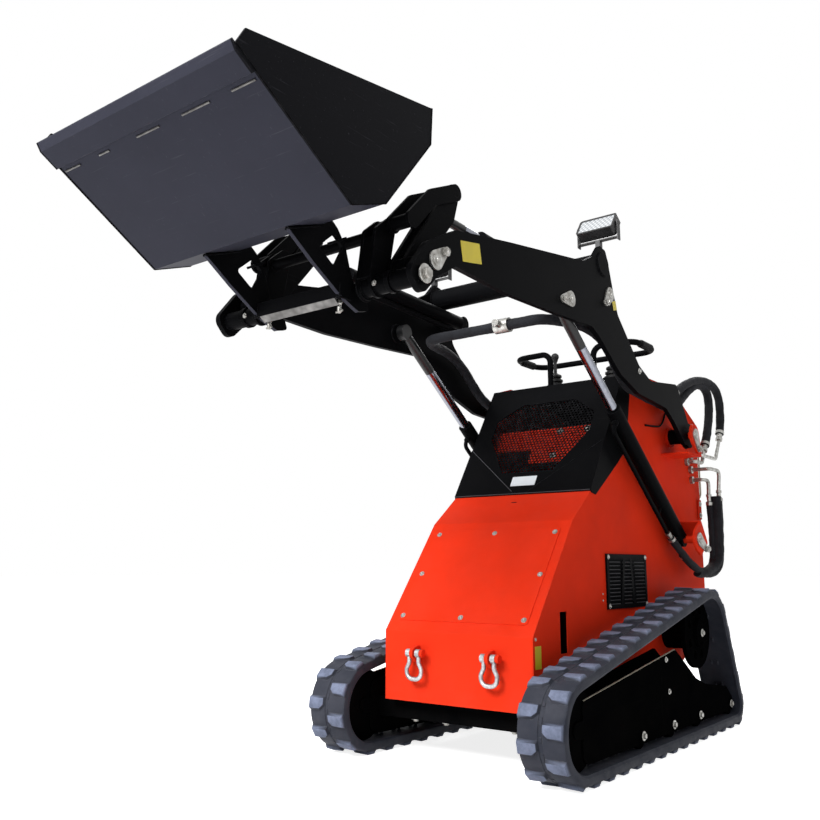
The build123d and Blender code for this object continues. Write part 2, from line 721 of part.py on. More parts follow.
def makeLamp():
    """Work lamp in a U-bracket on the arm's horn: housing, rim, fins and straps."""
    width, depth, height = lampSize
    place = lampPlace()
    housing = Box(width, depth, height)
    housing = fillet(housing.edges().filter_by(Axis.Y), 12)
    recess = Pos(0, -depth / 2, 0) * Box(width - 2 * lampRim, 2 * (lensSheet + 2),
                                         height - 2 * lampRim)
    housing -= recess
    fins = [Pos(index * 18.0, depth / 2 + 4, 0) * Box(3, 10, height - 24) for index in range(-3, 4)]
    lamp = place * (housing + fins)
    foot = horn[1] + seatGap
    x = (armInner + armOuter) / 2
    strapZ = horn[1] + 26
    base = Pos(x, horn[0] + lampBack, strapZ) * Box(width + 2 * 8, 24, 4)
    post = Pos(x, horn[0] + lampBack, (foot + strapZ) / 2) * Box(20, 24, strapZ - foot)
    straps = []
    for sign in (-1, 1):
        straps.append(Pos(x + sign * (width / 2 + 6), horn[0] + lampBack,
                          (strapZ + horn[1] + lampRise) / 2) * Box(
            4, 24, horn[1] + lampRise - strapZ + 24))
        straps.append(Pos(x + sign * (width / 2 + 2), horn[0] + lampBack,
                          horn[1] + lampRise) * Rot(0, 90, 0) * Cylinder(8, 14))
    return lamp + base + post + straps


def makeLenses():
    """Lens of each lamp, inside the housing's rim."""
    width, depth, height = lampSize
    lens = lampPlace() * Pos(0, -depth / 2 + lensSheet, 0) * Box(
        width - 2 * lampRim - 2 * seatGap, lensSheet, height - 2 * lampRim - 2 * seatGap)
    return Compound([lens, mirror(lens, about=Plane.YZ)])


keepPair("arm", makeArm())
keep("arm_tubes", makeArmTubes())
keepPair("work_lamp", makeLamp())
keep("lamp_lenses", makeLenses())


# ---- cylinders ---------------------------------------------------------------------------------
def makeCylinder(base, end, x, tubeRadius, rodRadius, tubeLength, inside):
    """A hydraulic cylinder: the tube with its base eye, and the rod with its own eye."""
    length = hypot(end[0] - base[0], end[1] - base[1])
    tube = rodBetween(along(base, end, eyeRadius - 6), along(base, end, tubeLength), tubeRadius, x)
    tube += barX(base, eyeRadius, x - eyeHalf, x + eyeHalf)
    tube -= rodBetween(along(base, end, tubeWall + eyeRadius), along(base, end, tubeLength + 1),
                       rodRadius + pinGap, x)
    tube -= barX(base, pinRadius + pinGap, x - tubeRadius - 1, x + tubeRadius + 1)
    rod = rodBetween(along(base, end, tubeLength - inside),
                     along(base, end, length - eyeRadius + 6), rodRadius, x)
    rod += barX(end, eyeRadius, x - eyeHalf, x + eyeHalf)
    return tube, rod


liftTube, liftRod = makeCylinder(liftBase, liftPin, liftAxis, liftTubeRadius, liftRodRadius,
                                 liftTubeLength, liftRodInside)
liftRod += barX(liftPin, pinRadius, liftAxis, armInner - liftBossRise - sideGap)


def beside(base, end, distance, offset):
    """The point at a distance from base towards end, then square off to the lower side."""
    foot = Vector(*along(base, end, distance))
    run = (Vector(*end) - Vector(*base)).normalized()
    side = Vector(-run.Y, run.X) if run.X < 0 and run.Y < 0 else Vector(run.Y, -run.X)
    if side.Y > 0:
        side = side * -1
    return (foot.X + side.X * offset, foot.Y + side.Y * offset)


def cylinderLine(base, end, x, low, high, offset):
    """Hard line from the gland's port back beside the tube, ending near the base."""
    corners = (beside(base, end, high, 0), beside(base, end, high, offset),
               beside(base, end, low, offset))
    line = tubeAlong([(x, *corner) for corner in corners], (24,), lineRadius)
    return line + rodBetween(corners[0], beside(base, end, high, offset * 0.62), portRadius, x)


def elbowEnd():
    """Where the base port's fitting ends, turned to the rear."""
    stub = beside(liftBase, liftPin, basePort, 60)
    return (stub[0] + 32, stub[1] - 24)


def makeLiftLine():
    """The lift cylinder's ports and hard line, with one clip."""
    low, high = lineRange
    line = cylinderLine(liftBase, liftPin, liftAxis, low, high, lineOffset)
    line += rodBetween(beside(liftBase, liftPin, low + 110, 10),
                       beside(liftBase, liftPin, low + 110, lineOffset), 5, liftAxis)
    stub = beside(liftBase, liftPin, basePort, 60)
    line += rodBetween(beside(liftBase, liftPin, basePort, 10), stub, portRadius, liftAxis)
    return line + rodBetween(stub, elbowEnd(), lineRadius, liftAxis)


def hollowed(line, base, end, x, tubeLength, rodRadius):
    """A cylinder's fitting cut back to the tube's bore."""
    return line - rodBetween(along(base, end, tubeWall + eyeRadius),
                             along(base, end, tubeLength + 1), rodRadius + pinGap, x)


liftTube += hollowed(makeLiftLine(), liftBase, liftPin, liftAxis, liftTubeLength, liftRodRadius)
tiltTube, tiltRod = makeCylinder(tiltBase, tiltRodPin, tiltAxis, tiltTubeRadius, tiltRodRadius,
                                 tiltTubeLength, tiltRodInside)
tiltTube += hollowed(cylinderLine(tiltBase, tiltRodPin, tiltAxis, 110, 735, 46),
                     tiltBase, tiltRodPin, tiltAxis, tiltTubeLength, tiltRodRadius)
keepPair("lift_tube", liftTube)
keepPair("lift_rod", liftRod)
keepPair("tilt_tube", tiltTube)
keepPair("tilt_rod", tiltRod)


# ---- tilt linkage ------------------------------------------------------------------------------
def makeRocker():
    """Two plates on a hub at the arm's front pin, and the pin that carries the link."""
    bore = pinRadius + pinGap
    rocker = ringX(rockerPin, hubRadiusRocker, bore, tiltAxis - rockerOuter, armInner - sideGap)
    circles = ((rockerPin, 34.0), (linkRockerPin, 30.0), (tiltRodPin, 30.0))
    for x0 in (tiltAxis - rockerOuter, tiltAxis + rockerInner):
        plate = hullX(circles, x0, x0 + rockerPlate)
        rocker += plate - barX(rockerPin, bore, x0 - 1, x0 + rockerPlate + 1)
    web = (along(rockerPin, linkRockerPin, 48), along(rockerPin, linkRockerPin, 190))
    rocker += plateX(((web[0][0] - 20, web[0][1] + 8), (web[1][0] - 20, web[1][1] + 8),
                      (web[1][0] - 11, web[1][1] + 2), (web[0][0] - 11, web[0][1] + 2)),
                     tiltAxis - rockerInner, tiltAxis + rockerInner)
    for x0, x1 in ((tiltAxis - linkOuter, tiltAxis - rockerInner),
                   (tiltAxis + rockerInner, tiltAxis + linkOuter)):
        rocker += barX(linkRockerPin, linkPinRadius, x0, x1)
    return rocker


def makeLink():
    """Two curved link plates beside the rocker's, joined by the spacer tube at the mount's end."""
    link = barX(linkMountPin, linkSpacerRadius, tiltAxis - linkOuter, tiltAxis + linkOuter)
    middle = ((linkRockerPin[0] + linkMountPin[0]) / 2 - 16,
              (linkRockerPin[1] + linkMountPin[1]) / 2 + 22)
    for x0 in (tiltAxis - linkOuter, tiltAxis + linkInner):
        plate = hullX(((linkRockerPin, 28.0), (middle, 26.0)), x0, x0 + linkPlate)
        plate += hullX(((middle, 26.0), (linkMountPin, 28.0)), x0, x0 + linkPlate)
        link += plate - barX(linkRockerPin, linkPinRadius + pinGap, x0 - 1, x0 + linkPlate + 1)
    return link


keepPair("rocker", makeRocker())
keepPair("link", makeLink())


# ---- mount and bucket --------------------------------------------------------------------------
def makeMount():
    """Attachment frame: sleeves on the arms' front pins, ears up to the links, cross-tubes."""
    earOuter = tiltAxis - linkOuter - sideGap
    mount = barX(bucketPin, mountTubeRadius, -sleeveInner - 5, sleeveInner + 5)
    mount += barX(crossBar, crossBarRadius, -sleeveInner - 5, sleeveInner + 5)
    for sign in (1, -1):
        x0, x1 = sorted((sign * sleeveInner, sign * sleeveOuter))
        side = barX(bucketPin, sleeveRadius, x0, x1)
        c0, c1 = sorted((sign * (sleeveOuter - 14), sign * sleeveOuter))
        side += barX(bucketPin, sleeveRadius + 5, c0, c1)
        for inner in (sleeveInner, earOuter - earPlate):
            e0, e1 = sorted((sign * inner, sign * (inner + earPlate)))
            side += hullX(((bucketPin, 38.0), (linkMountPin, 24.0), (crossBar, 26.0)), e0, e1)
        b0, b1 = sorted((sign * sleeveInner, sign * earOuter))
        side += barX(linkMountPin, 20.0, b0, b1)
        side += plateX(((bucketPin[0] - 38, bucketPin[1] + 20), (crossBar[0] - 26, crossBar[1] - 10),
                        (crossBar[0] - 18, crossBar[1] - 12), (bucketPin[0] - 28, bucketPin[1] + 16)),
                       b0, b1)
        b0, b1 = sorted((sign * (sleeveInner + earPlate), sign * (sleeveOuter + 1)))
        mount += side
        mount -= barX(bucketPin, pinRadius + pinGap, b0, b1)
    return mount


def makeBucket():
    """Open bucket shell: bottom and folded back, and side sheets."""
    back = (bucketLip, bucketHeel, bucketRearLow, bucketRearMid, bucketRearTop)
    shell = extrude(Plane.YZ.offset(-bucketHalf) * foldedFace(back, -bucketPlate),
                    2 * bucketHalf, dir=(1, 0, 0))
    outline = (bucketLip, bucketLipTop, bucketRearTop, bucketRearMid, bucketRearLow, bucketHeel)
    for x0 in (-bucketHalf, bucketHalf - bucketPlate):
        shell += plateX(outline, x0, x0 + bucketPlate)
    return shell


def makeEdge():
    """Bevelled cutting edge under the bucket's lip."""
    run = Vector(bucketHeel[0] - bucketLip[0], bucketHeel[1] - bucketLip[1], 0).normalized()
    down = Vector(run.Y, -run.X, 0)
    lip = Vector(*bucketLip, 0)
    under = seatGap + edgeThick
    corners = (lip + down * seatGap - run * edgeThick, lip + down * seatGap + run * edgeWidth,
               lip + down * under + run * edgeWidth, lip + down * under + run * edgeThick)
    return plateX([(c.X, c.Y) for c in corners], -bucketHalf, bucketHalf)


def makeRibs():
    """Two ribs on the bucket's back that hook under the attachment frame, and their cross-bar."""
    heel, low = bucketHeel, bucketRearLow
    outline = ((heel[0] + 2, heel[1] - 4, 4), (-898, 1546, 60), (-778, 1474, 40), (-700, 1445, 16),
               (-655, 1456, 10), (-668, 1486, 6), (-700, 1500, 4), (-735, 1540, 20),
               (-765, 1632, 60), (-800, 1677, 20), (low[0] + 30, low[1] + 34, 8),
               (low[0] - 0.5, low[1] - 1, 2), (heel[0] + 0.5, heel[1] - 0.6, 2))
    window = ((-880, 1600, 10), (-813, 1555, 12), (-775, 1625, 12), (-815, 1655, 10))
    ribs = []
    reach = (bucketPin, mountTubeRadius + seatGap)
    for sign in (-1, 1):
        x0, x1 = sorted((sign * ribStation, sign * (ribStation - ribPlate)))
        rib = roundedX(outline, x0, x1) - roundedX(window, x0 - 1, x1 + 1)
        rib -= barX(*reach, x0 - 1, x1 + 1)
        tab = Pos(sign * (ribStation - ribPlate / 2), -797, 1640) * Rot(28, 0, 0) * Box(
            4 * ribPlate, 46, 8)
        ribs.append(rib + tab)
    inside = 2 * (ribStation - ribPlate / 2)
    bar = Pos(0, *bucketBar) * Box(inside, *bucketBarSize)
    bar -= Pos(0, *bucketBar) * Box(inside + 1, bucketBarSize[0] - 10, bucketBarSize[1] - 10)
    return bar + ribs


keep("mount_frame", makeMount())
keep("bucket_shell", makeBucket())
keep("cutting_edge", makeEdge())
keep("bucket_ribs", makeRibs())


# ---- platform ----------------------------------------------------------------------------------
def makePlatform():
    """Rider's platform, folded up against the rear: a plate with turned edges and hinge plates."""
    y, z = platformPivot
    place = Pos(0, y, z + platformFoot + platformReach / 2)
    platform = place * Box(2 * platformHalf, platformThick, platformReach)
    pocket = place * Pos(0, -platformEdge, 0) * Box(
        2 * (platformHalf - platformEdge), platformThick, platformReach - 2 * platformEdge)
    platform -= pocket
    for sign in (-1, 1):
        x0, x1 = sorted((sign * (hingeLug - sideGap), sign * (hingeLug - sideGap - hingePlate)))
        platform += hullX((((y, z), 18.0), ((y, z + platformFoot + 90), platformThick / 2)),
                          x0, x1)
        platform -= barX((y, z), hingePin + pinGap, x0 - 1, x1 + 1)
    return platform


keep("platform", makePlatform())


# ---- hoses, fittings and pin retainers ---------------------------------------------------------
def makeLoopHoses():
    """Two hoses from the body's outlets up and over to the arm's rear end."""
    return Compound([tubeAlong(outerLoop, (110, 120, 110), hoseRadius),
                     tubeAlong(innerLoop, (110, 110, 110), hoseRadius)])


def makeBundle():
    """Two hoses down the body's rear edge and forward to the lift cylinder's ports."""
    run = (Vector(*elbowEnd()) - Vector(*beside(liftBase, liftPin, basePort, 60))).normalized()
    tip = Vector(*elbowEnd()) + run * 3
    ends = (beside(liftBase, liftPin, lineRange[0] - 6, lineOffset), (tip.X, tip.Y))
    pieces = []
    for top, bend, end in zip(bundleTops, bundleBends, ends):
        pieces.append(tubeAlong((top, (top[0], *bundleLow), (*bend, bundleLow[1]),
                                 (liftAxis, *end)), (100, 60), 0.8 * hoseRadius))
    return Compound(pieces)


def outletElbow(outlet, start, following):
    """A bent fitting from the body's side into the start of a hose."""
    face = bodyHalf + seatGap
    run = (Vector(*following) - Vector(*start)).normalized()
    corner = Vector(*start) - run * ((start[2] - outlet[1]) / run.Z)
    end = Vector(*start) - run * seatGap
    bend = tubeAlong(((face, *outlet), (start[0], *outlet), tuple(corner), tuple(end)),
                     (14, 24), fittingRadius)
    return bend + barX(outlet, 2 * fittingRadius, face, face + 14)


def makeBodyHardware():
    """Outlet elbows on the body's side and the retainers of the bracket pins."""
    runs = ((outerLoop[0], outerLoop[1]), (innerLoop[0], innerLoop[1]),
            *[(top, (top[0], *bundleLow)) for top in bundleTops])
    pieces = [outletElbow(outlet, *run) for outlet, run in zip(outlets, runs)]
    for pin, bolt in ((armPivot, (29.0, -62.0)), (liftBase, (76.0, -42.0))):
        pieces.append(makeRetainer(pin, bolt, bracketOuter))
    return Compound(pieces)


def makeRetainer(pin, bolt, x):
    """A pear-shaped plate over a pin's end, held by one bolt."""
    end = (pin[0] + bolt[0], pin[1] + bolt[1])
    plate = hullX(((pin, retainerBig), (end, retainerSmall)), x + seatGap,
                  x + seatGap + retainerPlate)
    plate += barX(pin, 0.6 * retainerBig, x + seatGap, x + seatGap + retainerPlate + 3)
    return plate + barX(end, 0.7 * retainerSmall, x + seatGap, x + seatGap + retainerPlate + 7)


def makeArmHardware():
    """Retainers of the arms' pins, the washers of the bucket pins and the cross hose's tee."""
    side = [makeRetainer(rockerPin, (42.0, 36.0), armOuter),
            makeRetainer(liftPin, (-64.0, -14.0), armOuter),
            makeRetainer(tiltBase, (-40.0, -42.0), armOuter),
            barX(bucketPin, 25.0, armOuter + 4 + seatGap, armOuter + 9),
            ]
    both = side + [mirror(piece, about=Plane.YZ) for piece in side]
    tee = ringX(crossHose, hoseRadius + 7, hoseRadius + seatGap, teePlace - 32, teePlace + 32)
    tee += Pos(teePlace, crossHose[0] - hoseRadius - 18, crossHose[1]) * Rot(90, 0, 0) * Cylinder(
        14, 40)
    tee -= barX(crossHose, hoseRadius + seatGap, teePlace - 40, teePlace + 40)
    return Compound(both + [tee])


def makeArmHoses():
    """Hose down the inner side of each arm and across between them."""
    y, z = crossHose
    half = tubeAlong(((armHoseX, 1288, 1418), (armHoseX, *armHoseRun[0]),
                      (armHoseX, *armHoseRun[1]),
                      (armHoseX, 600, 1636), (300, y, z), (0, y, z)),
                     (90, 110, 120, 95), hoseRadius)
    return half + mirror(half, about=Plane.YZ)


keepPair("loop_hoses", makeLoopHoses())
keepPair("lift_hoses", makeBundle())
keep("body_hardware", Compound([makeBodyHardware(), mirror(makeBodyHardware(), about=Plane.YZ)]))
keep("arm_hardware", makeArmHardware())
keep("arm_hoses", makeArmHoses())

os.makedirs("parts", exist_ok=True)
for name, shape in nodes.items():
    export_step(Pos(0, -originStation, 0) * shape, f"parts/{name}.step")
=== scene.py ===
from math import acos, atan2, cos, hypot, pi, radians, sin

import bmesh
import bpy
from mathutils import Matrix, Vector, noise


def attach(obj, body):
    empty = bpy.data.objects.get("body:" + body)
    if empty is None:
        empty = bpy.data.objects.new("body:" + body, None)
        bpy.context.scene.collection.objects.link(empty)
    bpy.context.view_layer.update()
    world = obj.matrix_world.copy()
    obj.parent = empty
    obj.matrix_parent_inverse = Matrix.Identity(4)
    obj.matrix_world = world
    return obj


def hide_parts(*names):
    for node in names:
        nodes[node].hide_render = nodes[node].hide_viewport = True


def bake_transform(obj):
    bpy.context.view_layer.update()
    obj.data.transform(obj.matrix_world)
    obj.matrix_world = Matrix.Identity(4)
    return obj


# compact track loader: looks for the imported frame
# pieces are drawn in millimetres, by station from the tracks' front foot, and scaled at the end
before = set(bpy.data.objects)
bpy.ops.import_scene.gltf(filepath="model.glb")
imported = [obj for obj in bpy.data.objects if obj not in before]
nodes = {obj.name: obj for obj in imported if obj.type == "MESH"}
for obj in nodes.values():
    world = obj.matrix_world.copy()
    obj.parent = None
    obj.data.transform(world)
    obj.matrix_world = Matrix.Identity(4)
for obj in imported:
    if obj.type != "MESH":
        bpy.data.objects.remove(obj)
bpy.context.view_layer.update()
mm = 0.001
originStation = 269.3
print("frame loaded", len(nodes), "nodes")


def at(x, station, height):
    return Vector((x, station - originStation, height)) * mm


# nodes: a socket is fed by another node's socket or by a plain value
def feed(tree, sockets, values):
    for name, value in values.items():
        socket = sockets[name]
        if isinstance(value, bpy.types.NodeSocket):
            tree.links.new(value, socket)
        elif socket.type == "RGBA":
            socket.default_value = (*value, 1)
        else:
            socket.default_value = value


def addNode(tree, kind, inputs, operation=None):
    node = tree.nodes.new("ShaderNode" + kind)
    if operation:
        node.operation = operation
    feed(tree, node.inputs, inputs)
    return node


def mathNode(tree, operation, *values):
    return addNode(tree, "Math", dict(enumerate(values)), operation).outputs[0]


def times(tree, first, second):
    return mathNode(tree, "MULTIPLY", first, second)


def ramp(tree, value, low, high, toLow=0.0, toHigh=1.0):
    return addNode(tree, "MapRange", {"Value": value, "From Min": low, "From Max": high,
                                      "To Min": toLow, "To Max": toHigh}).outputs["Result"]


def seenBy(tree, rays):
    # 1 for the named rays, 0 for all others
    path = tree.nodes.new("ShaderNodeLightPath")
    total = path.outputs[rays[0]]
    for name in rays[1:]:
        total = mathNode(tree, "MAXIMUM", total, path.outputs[name])
    return total


def startMaterial(name, **constants):
    material = bpy.data.materials.new(name)
    material.use_nodes = True
    tree = material.node_tree
    shader = tree.nodes["Principled BSDF"]
    feed(tree, shader.inputs, {label.replace("_", " "): value for label, value in constants.items()})
    return material, tree, shader.inputs


def asMesh(bm, name):
    mesh = bpy.data.meshes.new(name)
    bm.to_mesh(mesh)
    bm.free()
    return mesh


def placeObject(name, data):
    obj = bpy.data.objects.new(name, data)
    bpy.context.scene.collection.objects.link(obj)
    return obj


# stage: camera, floor, world, lamps
view = {"place": (1855.1, -2623.5, 689.2), "turn": 37.6145, "pitch": 10.1363, "lens": 38.53, "sensor": 36,
        "farthest": 200}
stageLook = {"floor": 0.84, "floorRough": 0.95, "lift": 0.83, "fill": 0.22, "floorSize": 60.0}
lamps = [
    {"name": "keyLamp", "place": (-500, -4100, 4500), "aim": (0, 300, 800), "size": 3.2, "power": 590},
    {"name": "sideLamp", "place": (4600, 200, 3600), "aim": (0, 500, 1000), "size": 2.6, "power": 25},
    {"name": "rearLamp", "place": (-1500, 4600, 3600), "aim": (0, 700, 900), "size": 3.0, "power": 130},
]


def makeCamera():
    data = bpy.data.cameras.new("viewCamera")
    data.lens = view["lens"]
    data.sensor_width = view["sensor"]
    data.clip_end = view["farthest"]
    camera = placeObject("viewCamera", data)
    camera.location = at(*view["place"])
    camera.rotation_euler = (radians(90 + view["pitch"]), 0, radians(view["turn"]))
    bpy.context.scene.camera = camera


def makeStage():
    bm = bmesh.new()
    bmesh.ops.create_grid(bm, x_segments=1, y_segments=1, size=stageLook["floorSize"])
    floor = placeObject("studioFloor", asMesh(bm, "studioFloor"))
    material, tree, shader = startMaterial(
        "studioFloor", Base_Color=[stageLook["floor"]] * 3, Roughness=stageLook["floorRough"],
        Specular_IOR_Level=0.0, Emission_Color=(1, 1, 1))
    seen = seenBy(tree, ("Is Camera Ray", "Is Glossy Ray"))
    feed(tree, shader, {"Emission Strength": times(tree, seen, stageLook["lift"])})
    floor.data.materials.append(material)


def makeWorld():
    world = bpy.data.worlds.new("studioWorld")
    world.use_nodes = True
    bpy.context.scene.world = world
    tree = world.node_tree
    seen = seenBy(tree, ("Is Camera Ray", "Is Glossy Ray", "Is Transmission Ray"))
    feed(tree, tree.nodes["Background"].inputs,
         {"Color": (1, 1, 1), "Strength": ramp(tree, seen, 0.0, 1.0, stageLook["fill"], 1.0)})


def makeLamps():
    for lamp in lamps:
        data = bpy.data.lights.new(lamp["name"], "AREA")
        data.size = lamp["size"]
        data.energy = lamp["power"]
        obj = placeObject(lamp["name"], data)
        obj.location = at(*lamp["place"])
        away = at(*lamp["aim"]) - obj.location
        obj.rotation_euler = away.to_track_quat("-Z", "Y").to_euler()


makeCamera()
makeStage()
makeWorld()
makeLamps()
bpy.context.scene.view_settings.view_transform = "Standard"
print("stage ready")


# shared effects, as node groups
def startGroup(name, inputs, outputs):
    tree = bpy.data.node_groups.new(name, "ShaderNodeTree")
    for label, value in inputs.items():
        socket = tree.interface.new_socket(name=label, in_out="INPUT", socket_type="NodeSocketFloat")
        socket.default_value = value
    for label, kind in outputs.items():
        tree.interface.new_socket(name=label, in_out="OUTPUT", socket_type="NodeSocket" + kind)
    return tree, tree.nodes.new("NodeGroupInput").outputs, tree.nodes.new("NodeGroupOutput").inputs


def noiseNode(tree, coords, scale, detail=3.0, rough=0.55):
    return addNode(tree, "TexNoise", {"Vector": coords, "Scale": scale, "Detail": detail,
                                      "Roughness": rough}).outputs["Fac"]


def stretched(tree, coords, scale, turn=(0, 0, 0)):
    return addNode(tree, "Mapping", {"Vector": coords, "Scale": scale,
                                     "Rotation": [radians(angle) for angle in turn]}).outputs["Vector"]


def objectCoords(tree):
    return tree.nodes.new("ShaderNodeTexCoord").outputs["Object"]


def faceNormal(tree):
    return tree.nodes.new("ShaderNodeNewGeometry").outputs["Normal"]


def partsOf(tree, vector):
    return addNode(tree, "SeparateXYZ", {0: vector}).outputs


def waveNode(tree, distance, pitch):
    return mathNode(tree, "SINE", times(tree, distance, 2 * pi / pitch))


def makeSoftEdge():
    # rounded normal at sharp edges, and a broken mask where paint has rubbed off them
    tree, given, made = startGroup("softEdge", {"Radius": 0.002, "Amount": 0.5, "Scale": 30.0},
                                   {"Normal": "Vector", "Mask": "Float"})
    bevel = addNode(tree, "Bevel", {"Radius": given["Radius"]})
    bevel.samples = 4
    rounded = bevel.outputs["Normal"]
    dot = addNode(tree, "VectorMath", {0: rounded, 1: faceNormal(tree)}, "DOT_PRODUCT")
    edge = ramp(tree, dot.outputs["Value"], 0.99, 0.86)
    patches = ramp(tree, noiseNode(tree, objectCoords(tree), given["Scale"], 5.0, 0.65), 0.42, 0.62)
    mask = times(tree, times(tree, edge, patches), given["Amount"])
    feed(tree, made, {"Mask": mask, "Normal": rounded})
    return tree


def makeDustFilm():
    # thin dust: more on faces that look up and near the ground
    tree, given, made = startGroup("dustFilm", {"Amount": 0.3, "Top": 0.5, "Scale": 6.0}, {"Mask": "Float"})
    coords = objectCoords(tree)
    low = ramp(tree, mathNode(tree, "SUBTRACT", given["Top"], partsOf(tree, coords)["Z"]), 0.0, 0.5)
    up = ramp(tree, partsOf(tree, faceNormal(tree))["Z"], 0.2, 1.0, 0.0, 0.7)
    cloud = ramp(tree, noiseNode(tree, coords, given["Scale"], 6.0, 0.7), 0.38, 0.72)
    mask = times(tree, times(tree, mathNode(tree, "ADD", low, up), cloud), given["Amount"])
    feed(tree, made, {"Mask": mathNode(tree, "MINIMUM", mask, 1.0)})
    return tree


def makeFineGrain():
    # fine unevenness for bump and roughness
    tree, given, made = startGroup("fineGrain", {"Scale": 400.0}, {"Height": "Float", "Cloud": "Float"})
    coords = objectCoords(tree)
    feed(tree, made, {"Height": noiseNode(tree, coords, given["Scale"], 2.0, 0.5),
                      "Cloud": noiseNode(tree, coords, 3.0, 5.0, 0.6)})
    return tree


def makeScratches():
    # thin long scratches in two directions
    tree, given, made = startGroup("rubScratches", {"Amount": 0.5, "Scale": 14.0}, {"Mask": "Float"})
    coords = objectCoords(tree)
    thin = []
    for turn, scale in (((10, 24, 8), (1, 26, 26)), ((40, -18, 60), (26, 1, 22))):
        lines = noiseNode(tree, stretched(tree, coords, scale, turn), given["Scale"], 3.0, 0.6)
        thin.append(ramp(tree, lines, 0.66, 0.74))
    feed(tree, made, {"Mask": times(tree, mathNode(tree, "MAXIMUM", *thin), given["Amount"])})
    return tree


def makeSleeveWeave():
    # braided sleeve on a hose: two families of slanted strands, in the piece's own UV in metres
    tree, given, made = startGroup("sleeveWeave", {"Pitch": 0.006}, {"Height": "Float"})
    uv = partsOf(tree, tree.nodes.new("ShaderNodeUVMap").outputs["UV"])
    waves = []
    for sign in (1, -1):
        line = mathNode(tree, "ADD", uv["X"], times(tree, uv["Y"], sign))
        turn = times(tree, mathNode(tree, "DIVIDE", line, given["Pitch"]), 2 * pi)
        waves.append(mathNode(tree, "SINE", turn))
    feed(tree, made, {"Height": mathNode(tree, "MAXIMUM", *waves)})
    return tree


softEdge = makeSoftEdge()
dustFilm = makeDustFilm()
fineGrain = makeFineGrain()
rubScratches = makeScratches()
sleeveWeave = makeSleeveWeave()


def placeGroup(tree, group, **values):
    node = tree.nodes.new("ShaderNodeGroup")
    node.node_tree = group
    feed(tree, node.inputs, values)
    return node.outputs


def mixColour(tree, mask, first, second):
    # 0, 6, 7 and output 2: factor and colours of the mix node
    node = tree.nodes.new("ShaderNodeMix")
    node.data_type = "RGBA"
    feed(tree, node.inputs, {0: mask, 6: first, 7: second})
    return node.outputs[2]


def shade(colour, factor):
    return tuple(min(1.0, channel * factor) for channel in colour)


def bumpFrom(tree, height, strength, distance, **normal):
    return addNode(tree, "Bump", {"Height": height, "Strength": strength, "Distance": distance,
                                  **normal}).outputs["Normal"]


dustColour = (0.23, 0.20, 0.17)
paints = {
    "bodyRed": {"colour": (0.82, 0.037, 0.011), "worn": (0.86, 0.16, 0.09), "rough": 0.42, "shine": 0.01,
                "edge": 0.35, "edgeSize": 0.0016, "dust": 0.08, "dustTop": 0.45, "peel": 0.10, "rub": 0.05},
    "satinBlack": {"colour": (0.0035, 0.0036, 0.0042), "worn": (0.10, 0.10, 0.11), "rough": 0.40,
                   "shine": 0.012, "edge": 0.40, "edgeSize": 0.0018, "dust": 0.015, "dustTop": 0.45,
                   "peel": 0.12, "rub": 0.05},
    "frameBlack": {"colour": (0.0020, 0.0021, 0.0024), "worn": (0.05, 0.05, 0.05), "rough": 0.50,
                   "shine": 0.0, "edge": 0.28, "edgeSize": 0.0018, "dust": 0.012, "dustTop": 0.50,
                   "peel": 0.16, "rub": 0.03},
    # the bucket paint's shaded sides entry darkens its side plates as painted shade
    "bucketBlack": {"colour": (0.032, 0.033, 0.046), "worn": (0.14, 0.14, 0.16), "rough": 0.42,
                    "shine": 0.03, "shadedSides": (0.4105, 0.12), "edge": 0.50, "edgeSize": 0.0022,
                    "dust": 0.03, "dustTop": 0.20, "peel": 0.16, "rub": 0.16},
}


def makePaint(name, look):
    material, tree, shader = startMaterial(name, Specular_IOR_Level=look["shine"])
    edge = placeGroup(tree, softEdge, Radius=look["edgeSize"], Amount=look["edge"], Scale=42.0)
    dust = placeGroup(tree, dustFilm, Amount=look["dust"], Top=look["dustTop"], Scale=7.0)["Mask"]
    grain = placeGroup(tree, fineGrain, Scale=260.0)
    rub = placeGroup(tree, rubScratches, Amount=look["rub"], Scale=5.0)["Mask"]
    cloud = ramp(tree, grain["Cloud"], 0.3, 0.7)
    base = mixColour(tree, cloud, shade(look["colour"], 0.90), shade(look["colour"], 1.08))
    if "shadedSides" in look:
        # painted shade: the bucket's side plates, those that lie beyond a reach from the middle, are darkened as
        # they sit in shade
        reach, dark = look["shadedSides"]
        across = mathNode(tree, "ABSOLUTE", partsOf(tree, objectCoords(tree))["X"])
        base = mixColour(tree, ramp(tree, across, reach, reach + 0.001), base, shade(look["colour"], dark))
    base = mixColour(tree, mathNode(tree, "MAXIMUM", edge["Mask"], rub), base, look["worn"])
    rough = ramp(tree, grain["Cloud"], 0.25, 0.75, look["rough"] - 0.05, look["rough"] + 0.07)
    feed(tree, shader, {
        "Base Color": mixColour(tree, dust, base, dustColour),
        "Roughness": mathNode(tree, "ADD", rough, times(tree, dust, 0.4)),
        "Normal": bumpFrom(tree, grain["Height"], look["peel"], 0.0006, Normal=edge["Normal"])})
    return material


metals = {
    "zincPlate": {"colour": (0.50, 0.50, 0.48), "dark": (0.26, 0.25, 0.23), "rough": 0.34, "spot": 60.0},
    "galvanised": {"colour": (0.56, 0.57, 0.58), "dark": (0.30, 0.31, 0.32), "rough": 0.42, "spot": 110.0},
    "bareSteel": {"colour": (0.19, 0.185, 0.18), "dark": (0.10, 0.097, 0.095), "rough": 0.38, "spot": 40.0},
}


